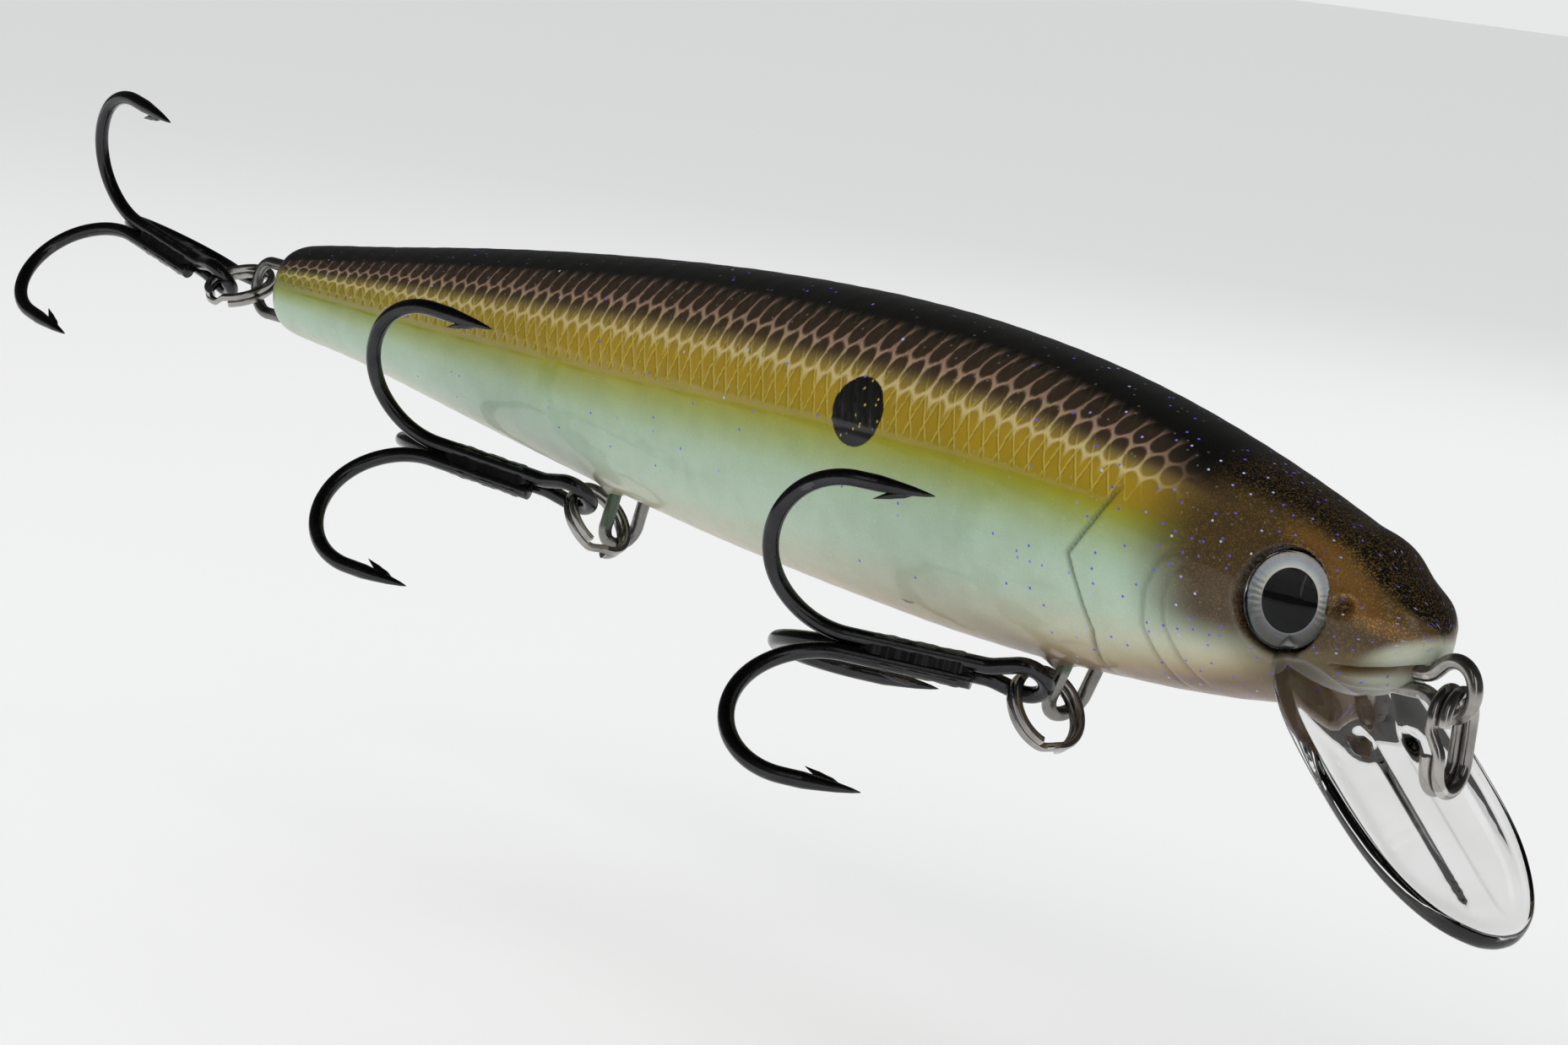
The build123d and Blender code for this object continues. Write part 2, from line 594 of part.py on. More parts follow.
# ================================================================= build
# --- interior features shared by both halves
tie_cut = line_tie(0.03)
tail_cut = tail_hanger(0.03)
bill_solid = bill()
kw1 = cyl((KEEL_WEIGHT_1[0], 0, KEEL_WEIGHT_1[1]), (0, 1, 0), KEEL_WEIGHT_D / 2 + 0.03, KEEL_WEIGHT_1[2] + 0.2)
kw2 = cyl((KEEL_WEIGHT_2[0], 0, KEEL_WEIGHT_2[1]), (0, 1, 0), KEEL_WEIGHT_D / 2 + 0.03, KEEL_WEIGHT_2[2] + 0.2)
tunnel_outer = cyl(((TUNNEL_X[0] + TUNNEL_X[1]) / 2, 0, TUNNEL_Z), (1, 0, 0), TUNNEL_D / 2 + TUNNEL_WALL,
                   TUNNEL_X[1] - TUNNEL_X[0] + 1.6)
tunnel_bore = cyl(((TUNNEL_X[0] + TUNNEL_X[1]) / 2, 0, TUNNEL_Z), (1, 0, 0), TUNNEL_D / 2,
                  TUNNEL_X[1] - TUNNEL_X[0])
pins = [(-13.2, 2.2), (-29.5, 4.2), (-55.0, None), (-75.5, 4.0), (-116.6, -0.84)]

for side, name in ((-1, "body_shell_right"), (1, "body_shell_left")):
    outer = Part() + outer_half(side)
    cav = Part() + cavity_half(side)
    for x0, x1 in (BULKHEAD_FRONT, BULKHEAD_REAR):
        cav = cav - box(x0, x1, -20, 20, -20, 20)
    cav = cav - box(WEIGHT_BLOCK_1[0], WEIGHT_BLOCK_1[1], -20, 20, -20, -2.6)
    cav = cav - box(WEIGHT_BLOCK_2[0], WEIGHT_BLOCK_2[1], -20, 20, -20, -3.4)
    cav = cav - tunnel_outer
    # web that carries the middle locating pin
    cav = cav - box(-56.2, -53.8, -20, 20, -20, 20)
    shell = outer - cav
    for cut in (tunnel_bore, kw1, kw2, tie_cut, *belly_pocket(HANGER_FRONT, side),
                *belly_pocket(HANGER_REAR, side), tail_cut, *bill_pocket()):
        shell = shell - cut
    pl = eye_plane(side)
    socket = pl * (Pos(0, 0, -EYE_DEPTH + 3) * Cylinder(EYE_SOCKET_D / 2, 6))
    shell = shell - socket
    for x, z in pins:
        z = 0.0 if z is None else z
        if side > 0:
            shell = shell + cyl((x, 0, z), (0, 1, 0), PIN_D / 2, 2.4)
        else:
            shell = shell - cyl((x, 0, z), (0, 1, 0), PIN_D / 2 + 0.04, 2.6)
    save(shell, name)

save(bill_solid, "diving_bill")

for side, name in ((-1, "right"), (1, "left")):
    pl = eye_plane(side)
    disc = pl * (Pos(0, 0, -EYE_DEPTH + EYE_DISC_T / 2 + 0.01) * Cylinder(EYE_DISC_D / 2, EYE_DISC_T))
    save(disc, "eye_iris_" + name)
    z0 = -EYE_DEPTH + EYE_DISC_T + 0.02
    R = (EYE_LENS_D ** 2 / 4 + EYE_DOME ** 2) / (2 * EYE_DOME)
    dome = Pos(0, 0, z0 + EYE_RIM + EYE_DOME - R) * Sphere(R)
    lens = (Pos(0, 0, z0 + (EYE_RIM + EYE_DOME + 0.2) / 2) * Cylinder(EYE_LENS_D / 2, EYE_RIM + EYE_DOME + 0.2)) & dome
    save(pl * lens, "eye_lens_" + name)

save(line_tie(), "line_tie_wire")
save(belly_hanger(HANGER_FRONT), "front_belly_hanger")
save(belly_hanger(HANGER_REAR), "rear_belly_hanger")
save(tail_hanger(), "tail_hanger")

w1 = cyl((KEEL_WEIGHT_1[0], 0, KEEL_WEIGHT_1[1]), (0, 1, 0), KEEL_WEIGHT_D / 2, KEEL_WEIGHT_1[2])
w2 = cyl((KEEL_WEIGHT_2[0], 0, KEEL_WEIGHT_2[1]), (0, 1, 0), KEEL_WEIGHT_D / 2, KEEL_WEIGHT_2[2])
save(w1, "keel_weight_front")
save(w2, "keel_weight_middle")
balls = Compound(children=[Pos(x, 0, TUNNEL_Z) * Sphere(BALL_D / 2) for x in BALL_X])
save(balls, "casting_weight_balls")

ring, ring_top, ring_w = oval_ring()
save(ring, "line_oval_ring")

for key, spec in SETS.items():
    save(split_ring(spec["ring_c"], spec["ring_n"], spec["hang"], spec["eye"]), key + "_split_ring")
    dbl, sgl, brz = treble(spec, -1)
    save(dbl, key + "_double_hook")
    save(sgl, key + "_single_hook")
    save(brz, key + "_hook_braze")
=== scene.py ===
import json
import math

import bpy
import numpy as np
from mathutils import Matrix, Vector

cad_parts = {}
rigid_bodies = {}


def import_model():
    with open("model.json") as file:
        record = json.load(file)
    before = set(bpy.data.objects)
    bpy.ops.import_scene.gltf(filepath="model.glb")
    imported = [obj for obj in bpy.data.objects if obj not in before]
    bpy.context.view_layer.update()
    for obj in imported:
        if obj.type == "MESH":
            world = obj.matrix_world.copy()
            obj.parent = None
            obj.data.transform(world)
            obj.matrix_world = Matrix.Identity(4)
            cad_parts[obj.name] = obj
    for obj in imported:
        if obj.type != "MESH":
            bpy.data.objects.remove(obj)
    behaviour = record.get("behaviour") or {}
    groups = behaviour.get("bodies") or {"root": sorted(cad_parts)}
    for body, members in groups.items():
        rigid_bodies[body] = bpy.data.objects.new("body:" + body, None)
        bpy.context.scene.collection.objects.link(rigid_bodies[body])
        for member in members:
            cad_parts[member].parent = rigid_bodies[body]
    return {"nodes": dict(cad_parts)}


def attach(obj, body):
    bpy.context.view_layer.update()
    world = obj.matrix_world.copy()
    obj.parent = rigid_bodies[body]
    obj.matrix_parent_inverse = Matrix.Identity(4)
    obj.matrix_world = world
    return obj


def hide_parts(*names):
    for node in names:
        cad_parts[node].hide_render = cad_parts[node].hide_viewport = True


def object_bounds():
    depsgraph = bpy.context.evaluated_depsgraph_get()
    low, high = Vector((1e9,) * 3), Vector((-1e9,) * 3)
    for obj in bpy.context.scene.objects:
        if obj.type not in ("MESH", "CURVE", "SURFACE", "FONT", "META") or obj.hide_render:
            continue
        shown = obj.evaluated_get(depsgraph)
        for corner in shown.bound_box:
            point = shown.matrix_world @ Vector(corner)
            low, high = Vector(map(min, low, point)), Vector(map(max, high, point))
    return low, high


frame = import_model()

CAD_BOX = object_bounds()

# ------------------------------------------------------------------ frame
# Dimensions below are millimetres from the front of the snout; the row's origin is the
# centre of the line-tie loop.
TIE_C = np.array([1.24, 0.0, -4.93])


def row(p):
    return (np.asarray(p, float) - TIE_C) * 0.001


def unit(v):
    v = np.asarray(v, float)
    return v / np.linalg.norm(v)


def lin(r, g, b):
    """8-bit display colour to scene-linear."""
    o = []
    for c in (r, g, b):
        c = c / 255.0
        o.append(c / 12.92 if c <= 0.04045 else ((c + 0.055) / 1.055) ** 2.4)
    return o


def sstep(a, b, x):
    t = np.clip((np.asarray(x, float) - a) / (b - a), 0.0, 1.0)
    return t * t * (3 - 2 * t)


def spline(xs, ys, xq):
    """Natural cubic spline."""
    xs, ys = np.asarray(xs, float), np.asarray(ys, float)
    n = len(xs)
    h = np.diff(xs)
    A = np.zeros((n, n))
    r = np.zeros(n)
    A[0, 0] = A[-1, -1] = 1.0
    for i in range(1, n - 1):
        A[i, i - 1], A[i, i], A[i, i + 1] = h[i - 1], 2 * (h[i - 1] + h[i]), h[i]
        r[i] = 6 * ((ys[i + 1] - ys[i]) / h[i] - (ys[i] - ys[i - 1]) / h[i - 1])
    M = np.linalg.solve(A, r)
    xq = np.asarray(xq, float)
    k = np.clip(np.searchsorted(xs, xq) - 1, 0, n - 2)
    a, b = xs[k + 1] - xq, xq - xs[k]
    hk = h[k]
    return (M[k] * a ** 3 + M[k + 1] * b ** 3) / (6 * hk) + (ys[k] / hk - M[k] * hk / 6) * a \
        + (ys[k + 1] / hk - M[k + 1] * hk / 6) * b


# ------------------------------------------------------------------ nodes
class Nodes:
    def __init__(self, name):
        self.mat = bpy.data.materials.new(name)
        self.mat.use_nodes = True
        self.t = self.mat.node_tree
        self.t.nodes.clear()
        self.out = self.t.nodes.new("ShaderNodeOutputMaterial")
        self.b = self.t.nodes.new("ShaderNodeBsdfPrincipled")
        self.t.links.new(self.b.outputs[0], self.out.inputs["Surface"])

    def new(self, kind, **kw):
        n = self.t.nodes.new(kind)
        for k, v in kw.items():
            setattr(n, k, v)
        return n

    def link(self, a, b):
        self.t.links.new(a, b)

    def put(self, sock, v):
        if hasattr(v, "is_linked") or isinstance(v, bpy.types.NodeSocket):
            self.t.links.new(v, sock)
        elif isinstance(v, (list, tuple)) and len(v) == 3 and len(sock.default_value) == 4:
            sock.default_value = (*v, 1.0)
        else:
            sock.default_value = v

    def set(self, **kw):
        for k, v in kw.items():
            self.put(self.b.inputs[k.replace("_", " ")], v)

    def math(self, op, a, b=0.0, c=None, clamp=False):
        n = self.new("ShaderNodeMath", operation=op)
        n.use_clamp = clamp
        self.put(n.inputs[0], a)
        if op not in ("FRACT", "ABSOLUTE", "SQRT", "FLOOR", "SINE"):
            self.put(n.inputs[1], b)
        if c is not None:
            self.put(n.inputs[2], c)
        return n.outputs[0]

    def smooth(self, x, lo, hi, a=0.0, b=1.0):
        n = self.new("ShaderNodeMapRange", interpolation_type="SMOOTHSTEP")
        self.put(n.inputs["Value"], x)
        n.inputs["From Min"].default_value = lo
        n.inputs["From Max"].default_value = hi
        n.inputs["To Min"].default_value = a
        n.inputs["To Max"].default_value = b
        return n.outputs["Result"]

    def mix(self, fac, a, b, blend="MIX"):
        n = self.new("ShaderNodeMix", data_type="RGBA", blend_type=blend)
        self.put(n.inputs[0], fac)
        self.put(n.inputs[6], a)
        self.put(n.inputs[7], b)
        return n.outputs[2]

    def attr(self, name, out="Fac"):
        n = self.new("ShaderNodeAttribute", attribute_name=name)
        return n.outputs[out]

    def coord(self):
        return self.new("ShaderNodeTexCoord").outputs["Object"]

    def noise(self, scale, detail=3.0, rough=0.5, vec=None, out="Fac"):
        n = self.new("ShaderNodeTexNoise")
        self.put(n.inputs["Scale"], scale)
        self.put(n.inputs["Detail"], detail)
        self.put(n.inputs["Roughness"], rough)
        self.put(n.inputs["Vector"], vec if vec is not None else self.coord())
        return n.outputs[out]

    def combine(self, x, y, z=0.0):
        n = self.new("ShaderNodeCombineXYZ")
        self.put(n.inputs[0], x)
        self.put(n.inputs[1], y)
        self.put(n.inputs[2], z)
        return n.outputs[0]

    def voronoi(self, vec, scale, dims="3D", feature="F1"):
        n = self.new("ShaderNodeTexVoronoi", voronoi_dimensions=dims, feature=feature)
        self.put(n.inputs["Vector"], vec)
        n.inputs["Scale"].default_value = scale
        return n

    def sep(self, col):
        n = self.new("ShaderNodeSeparateColor")
        self.put(n.inputs[0], col)
        return n.outputs

    def bump(self, height, strength, dist, normal=None):
        n = self.new("ShaderNodeBump")
        n.inputs["Strength"].default_value = strength
        n.inputs["Distance"].default_value = dist
        self.put(n.inputs["Height"], height)
        if normal is not None:
            self.put(n.inputs["Normal"], normal)
        return n.outputs[0]


# ------------------------------------------------------------------ meshes
def add_mesh(name, V, F, body, mat, nodes=(), sharp=None, attrs=None, colors=None, smooth=True):
    me = bpy.data.meshes.new(name)
    me.from_pydata(row(V).tolist(), [], F)
    me.validate()
    if smooth:
        me.polygons.foreach_set("use_smooth", [True] * len(me.polygons))
    if sharp is not None:
        me.set_sharp_from_angle(angle=math.radians(sharp))
    for k, v in (attrs or {}).items():
        a = me.attributes.new(k, "FLOAT", "POINT")
        a.data.foreach_set("value", np.asarray(v, np.float32))
    for k, v in (colors or {}).items():
        a = me.attributes.new(k, "FLOAT_COLOR", "POINT")
        c = np.ones((len(v), 4), np.float32)
        c[:, :3] = v
        a.data.foreach_set("color", c.ravel())
    ob = bpy.data.objects.new(name, me)
    bpy.context.scene.collection.objects.link(ob)
    me.materials.append(mat)
    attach(ob, body)
    if nodes:
        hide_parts(*nodes)
    return ob


def frames(P, closed=False, first=None):
    """Tangents and twist-free normals along a polyline."""
    P = np.asarray(P, float)
    n = len(P)
    T = np.zeros_like(P)
    if closed:
        T = np.roll(P, -1, 0) - np.roll(P, 1, 0)
    else:
        T[1:-1] = P[2:] - P[:-2]
        T[0], T[-1] = P[1] - P[0], P[-1] - P[-2]
    T /= np.linalg.norm(T, axis=1)[:, None]
    u = first if first is not None else np.array([0.3, 0.5, 0.81])
    N = np.zeros_like(P)
    u = np.asarray(u, float)
    for i in range(n):
        u = u - T[i] * u.dot(T[i])
        u /= np.linalg.norm(u)
        N[i] = u
    return T, N


def tube(P, r, n=24, caps="flat", closed=False, first=None, squash=None):
    """Round tube; r may vary along the path; squash narrows it across the second normal."""
    P = np.asarray(P, float)
    m = len(P)
    r = np.full(m, r) if np.isscalar(r) else np.asarray(r, float)
    T, N = frames(P, closed, first)
    B = np.cross(T, N)
    if closed:  # spread the closing twist
        e = N[0] - T[0] * N[0].dot(T[0])
        u = N[-1] - T[0] * N[-1].dot(T[0])
        u /= np.linalg.norm(u)
        ang = math.atan2(np.cross(u, N[0]).dot(T[0]), u.dot(N[0]))
        a = ang * np.arange(m) / m
        N, B = N * np.cos(a)[:, None] + B * np.sin(a)[:, None], B * np.cos(a)[:, None] - N * np.sin(a)[:, None]
    sq = np.ones(m) if squash is None else np.asarray(squash, float)
    V, F = [], []
    for i in range(m):
        for k in range(n):
            t = 2 * math.pi * k / n
            V.append(P[i] + N[i] * (r[i] * math.cos(t)) + B[i] * (r[i] * sq[i] * math.sin(t)))
    for i in range(m if closed else m - 1):
        j = (i + 1) % m
        for k in range(n):
            l = (k + 1) % n
            F.append((i * n + k, i * n + l, j * n + l, j * n + k))
    if not closed:
        for end in (0, m - 1):
            base = end * n
            sgn = -1 if end == 0 else 1
            rings = [base]
            for q, (fr, off) in enumerate(((0.80, 0.16), (0.45, 0.24)) if caps == "round" else ((0.86, 0.05),)):
                s = len(V)
                for k in range(n):
                    t = 2 * math.pi * k / n
                    V.append(P[end] + T[end] * (sgn * off * r[end]) + N[end] * (fr * r[end] * math.cos(t))
                             + B[end] * (fr * r[end] * sq[end] * math.sin(t)))
                rings.append(s)
            c = len(V)
            V.append(P[end] + T[end] * (sgn * (0.26 if caps == "round" else 0.06) * r[end]))
            for a, b in zip(rings[:-1], rings[1:]):
                for k in range(n):
                    l = (k + 1) % n
                    F.append((a + l, a + k, b + k, b + l) if end == 0 else (a + k, a + l, b + l, b + k))
            for k in range(n):
                l = (k + 1) % n
                F.append((rings[-1] + l, rings[-1] + k, c) if end == 0 else (rings[-1] + k, rings[-1] + l, c))
    return np.array(V), F


def join(parts):
    V, F, o = [], [], 0
    for v, f in parts:
        V.append(np.asarray(v))
        F += [tuple(i + o for i in q) for q in f]
        o += len(v)
    return np.vstack(V), F


# ------------------------------------------------------------------ body surface
STATIONS = [
    (-0.02, -2.25, -2.85, 0.12), (-0.08, -1.86, -3.10, 0.50), (-0.25, -1.45, -3.40, 0.95), (-0.62, -0.98, -3.95, 1.55),
    (-1.2, -0.50, -4.45, 2.15), (-2.6, 0.40, -5.56, 2.98), (-4.4, 1.42, -6.50, 3.66), (-6.6, 2.40, -7.33, 4.31),
    (-9.4, 3.35, -8.05, 4.83), (-13.0, 4.40, -8.67, 5.25), (-17.5, 5.57, -9.18, 5.82), (-23.0, 6.79, -9.58, 6.42),
    (-30.0, 8.00, -9.94, 6.76), (-38.0, 8.85, -10.00, 6.98), (-47.0, 9.27, -9.71, 7.10), (-56.0, 9.21, -9.28, 6.90),
    (-65.0, 8.84, -8.70, 6.44), (-74.0, 8.20, -7.95, 5.95), (-83.0, 7.38, -7.07, 5.44), (-92.0, 6.41, -6.10, 4.88),
    (-100.0, 5.42, -5.20, 4.27), (-107.5, 4.43, -4.42, 3.57), (-113.5, 3.69, -3.97, 3.07), (-117.2, 3.18, -3.72, 2.79),
    (-119.0, 2.62, -3.32, 2.40), (-119.7, 1.95, -2.75, 1.85), (-119.95, 1.00, -1.85, 1.10), (-120.0, 0.10, -0.95, 0.25)]
EXP = 2.25
ST = np.array(STATIONS)
tt = np.concatenate([[0], np.cumsum(np.linalg.norm(np.diff(ST, axis=0) * [1, 0.6, 0.6, 0.6], axis=1))])
NROW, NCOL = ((640, 148))
tq = np.linspace(0, tt[-1], NROW)
RX, RZT, RZB, RW = [spline(tt, ST[:, k], tq) for k in range(4)]
RX = np.minimum(RX, -0.005)
RW = np.maximum(RW, 0.06)

LAT_X = [-120, -111.8, -95.6, -84, -73.3, -63.1, -53.6, -45.1, -37.3, -29.6, -22.4, -10]
LAT_Z = [0.0, 0.11, 0.31, 0.57, 0.79, 1.11, 1.46, 1.66, 1.69, 1.61, 1.22, 0.6]
DARK_X = [-120, -110, -87, -67, -49, -34, -19, -12]
DARK_F = [0.56, 0.62, 0.69, 0.75, 0.77, 0.83, 0.82, 0.70]
EYE = np.array([-8.26, -4.55, -1.89])
EYE_AX = np.array([math.sin(math.radians(11)) * math.cos(math.radians(5)),
                   -math.cos(math.radians(11)) * math.cos(math.radians(5)), math.sin(math.radians(5))])
NOSTRIL = np.array([-4.61, -3.17, -1.60])
GILL1 = ([-9.6, -8.81, -6.43, -4.35, -2.31, -0.3, 2.23, 2.9], [-23.3, -23.0, -22.37, -23.1, -24.09, -22.6, -21.0, -20.6])
GILL2 = ([-9.0, -7.19, -5.32, -3.31, -1.28, -0.3], [-16.6, -17.5, -18.2, -18.0, -17.2, -16.4])
GILL3 = ([-8.6, -6.82, -5.0, -3.56, -2.05, -1.0], [-14.4, -15.7, -16.5, -16.6, -16.2, -15.5])
MOUTH = ([-5.6, -4.68, -3.39, -2.08, -0.68, 0.0], [-5.08, -5.07, -4.94, -4.67, -4.23, -4.0])
ROOTS = [(-29.0, 1.40, -9.75), (-29.0, -1.40, -9.75), (-75.35, 1.365, -7.72), (-75.35, -1.365, -7.72)]


def grad(x, stops):
    """Piecewise colour ramp, display values in, linear out."""
    k = np.array([s[0] for s in stops])
    c = np.array([lin(*s[1]) for s in stops])
    return np.stack([np.interp(x, k, c[:, i]) for i in range(3)], 1)


def blend(a, b, w):
    return a + (b - a) * np.clip(w, 0, 1)[:, None]


def body_half(side, name, node):
    th = np.linspace(math.pi / 2, -math.pi / 2, 361)
    cy, cz = np.abs(np.cos(th)) ** (2 / EXP), np.sign(np.sin(th)) * np.abs(np.sin(th)) ** (2 / EXP)
    P = np.zeros((NROW, NCOL, 3))
    S = np.zeros((NROW, NCOL))
    FR = np.zeros((NROW, NCOL))
    for i in range(NROW):
        zc, hh = (RZT[i] + RZB[i]) / 2, (RZT[i] - RZB[i]) / 2
        y, z = RW[i] * cy, zc + hh * cz
        y[0] = y[-1] = 0.0
        d = np.concatenate([[0], np.cumsum(np.hypot(np.diff(y), np.diff(z)))])
        q = np.linspace(0, d[-1], NCOL)
        P[i, :, 0] = RX[i]
        P[i, :, 1] = np.interp(q, d, y)
        P[i, :, 2] = np.interp(q, d, z)
        mid = np.interp(0.0, -cz, d)
        S[i] = (mid - q) / max(mid, 0.3)          # 1 at the top, 0 at mid height
        FR[i] = (P[i, :, 2] - zc) / hh
    # outward normals of the smooth surface
    Tu = np.gradient(P, axis=0)
    Tv = np.gradient(P, axis=1)
    N = np.cross(Tu, Tv)
    N /= np.linalg.norm(N, axis=2)[:, :, None] + 1e-12
    if (N[NROW // 2, NCOL // 2, 1]) < 0:
        N = -N
    N[:, 0] = N[:, 0] * [1, 0, 1]
    N[:, -1] = N[:, -1] * [1, 0, 1]
    N /= np.linalg.norm(N, axis=2)[:, :, None] + 1e-12
    p = P.reshape(-1, 3)
    n = N.reshape(-1, 3)
    x, y, z = p.T
    f = FR.ravel()
    s = S.ravel() * 12.4                           # scaled girth coordinate
    zl = np.interp(x, LAT_X, LAT_Z)
    zc = np.interp(x, RX[::-1], ((RZT + RZB) / 2)[::-1])
    hh = np.interp(x, RX[::-1], ((RZT - RZB) / 2)[::-1])
    fc = (zl - zc) / hh
    fd = np.interp(x, DARK_X, DARK_F)
    k = (f - fc) / (fd - fc)
    h = np.zeros(len(p))
    # lattice of scales
    lp = (x + 0.50 * s) / 1.35
    lq = (x - 0.34 * s) / 1.35
    rgn = sstep(0.0, 0.5, z - zl) * (1 - sstep(1.02, 1.25, k)) * (1 - sstep(-23.0, -18.5, x + 0.45 * (z - 2)))
    rgn *= sstep(-119.3, -117.0, x)
    fp, fq = np.abs(lp - np.floor(lp) - 0.5), np.abs(lq - np.floor(lq) - 0.5)   # 0.5 on a line
    groove = np.maximum(sstep(0.34, 0.5, fp), 0.9 * sstep(0.34, 0.5, fq))
    dome = (0.25 - (0.5 - np.maximum(fp, fq)) ** 2) * 0
    tilt = (lq - np.floor(lq)) - 0.5
    h += rgn * (-0.085 * groove + 0.05 * tilt + dome)
    # raised scale field above the lateral crease
    lat_w = sstep(-119, -114, x) * (1 - sstep(-25, -19, x))
    h += 0.055 * lat_w * (sstep(-0.12, 0.22, z - zl) - 0.5) * np.exp(-np.maximum(z - zl - 0.3, 0) / 4.0)
    h -= 0.03 * lat_w * np.exp(-((z - zl + 0.12) / 0.16) ** 2)
    # gill plates
    for (gz, gx), groov, step, wd, zlo, zhi in ((GILL1, 0.24, 0.20, 0.22, -9.0, 2.3), (GILL2, 0.13, 0.10, 0.26, -8.6, -0.6),
                                               (GILL3, 0.11, 0.07, 0.26, -8.0, -1.4)):
        dx = x - np.interp(z, gz, gx)
        w = sstep(zlo - 0.5, zlo + 0.9, z) * (1 - sstep(zhi - 0.9, zhi + 0.4, z))
        h += w * (-groov * np.exp(-(dx / wd) ** 2) + step * np.exp(-np.maximum(dx, 0) / 1.7) * sstep(-0.02, 0.3, dx))
    # brow, snout and jaws
    top = sstep(0.45, 0.85, f)
    h += 0.30 * np.exp(-((x + 5.6) / 1.5) ** 2) * top
    h += 0.16 * np.exp(-((x + 2.2) / 1.2) ** 2) * sstep(-0.1, 0.3, f) * (1 - sstep(0.6, 0.9, f))
    mz = np.interp(x, MOUTH[0], MOUTH[1])
    mw = sstep(-5.5, -4.3, x) * (1 - sstep(-0.75, -0.25, x))
    dz = z - mz
    h += mw * (-0.62 * np.exp(-((dz + 0.02) / 0.19) ** 2) + 0.20 * np.exp(-((dz + 0.62) / 0.32) ** 2)
               + 0.16 * np.exp(-((dz - 0.60) / 0.36) ** 2))
    h -= 0.22 * np.exp(-((x + 6.4) / 1.3) ** 2) * np.exp(-((z + 6.0) / 0.9) ** 2)
    # nostril: crescent rim above a pit
    d = p * [1, -1, 1] - NOSTRIL
    e1, e2 = unit([0.85, 0.35, 0.38]), unit([-0.38, 0.0, 0.92])
    a, b = d @ e1, d @ e2
    rr = np.hypot(a / 1.15, b / 0.85)
    near = np.abs(d).max(1) < 3
    h += near * (-0.60 * np.exp(-(rr / 0.45) ** 2) + 0.26 * np.exp(-((rr - 0.86) / 0.25) ** 2) * (0.55 + 0.45 * np.sin(np.arctan2(b, a) - 0.4)))
    # small mounds where the hanger legs come out
    for rx, ry, rz in ROOTS:
        dd = np.linalg.norm(p - [rx, ry, rz], axis=1)
        h += 0.50 * np.exp(-(dd / 0.78) ** 2)
    # orange-peel unevenness of the dipped coat
    h += 0.012 * np.sin(x * 1.7 + z * 2.1) * np.sin(z * 2.7 - x * 0.9)
    end = sstep(0, 0.5, -x) * sstep(0, 0.35, x + 120.0)
    h *= end
    q3 = p + n * h[:, None]
    # eye socket
    d = q3 * [1, -1, 1] - EYE
    ax = d @ EYE_AX
    rad = np.linalg.norm(d - ax[:, None] * EYE_AX, axis=1)
    face = (ax > -3.2)
    rim = 0.16 * np.exp(-((rad - 3.28) / 0.26) ** 2) * face
    q3 = q3 + n * rim[:, None]
    push = (1 - sstep(2.84, 3.02, rad)) * face
    axm = EYE_AX * [1, -1, 1]
    q3 = q3 + axm * ((np.minimum(-1.20 - ax, 0.0)) * push)[:, None]
    q3[:, 1] = np.maximum(q3[:, 1], 0.0)
    y0 = np.zeros((NROW, NCOL), bool)
    y0[:, 0] = y0[:, -1] = True
    q3[y0.ravel(), 1] = 0.0

    # ---- paint
    g = f - fc
    # belly ramp: tan belly paint, its lowest stops darkening to brown at the keel as painted shade on the underside
    low = grad(g, [(-2.0, (92, 74, 56)), (-1.27, (116, 92, 70)), (-1.19, (152, 132, 100)), (-1.10, (176, 166, 136)),
                   (-0.98, (186, 188, 164)), (-0.75, (174, 194, 174)), (-0.52, (163, 187, 165)), (-0.36, (155, 178, 148)),
                   (-0.24, (145, 163, 112)), (-0.14, (138, 150, 72)), (-0.06, (140, 140, 28)), (0.0, (140, 126, 10)), (0.05, (144, 124, 6))])
    up = grad(k, [(0.0, (140, 124, 8)), (0.15, (148, 122, 2)), (0.38, (150, 122, 4)), (0.52, (140, 114, 24)),
                  (0.66, (112, 90, 42)), (0.80, (60, 43, 25)), (0.92, (38, 26, 17)), (1.02, (14, 10, 7)), (1.2, (4, 3.5, 3)), (2, (4, 3.5, 3))])
    col = np.where((g > 0.0)[:, None], up, low)
    tl = (1 - sstep(-112, -70, x))
    olive = col * np.array([0.72, 0.86, 1.1])
    col = blend(col, olive, tl * sstep(-0.3, 0.0, g) * (1 - sstep(0.75, 1.0, k)))
    # tail end goes darker green
    col = blend(col, np.array([lin(96, 104, 22)] * len(x)), (1 - sstep(-119.5, -108, x)) * sstep(-0.1, 0.1, g) * (1 - sstep(0.6, 0.9, k)) * 0.7)
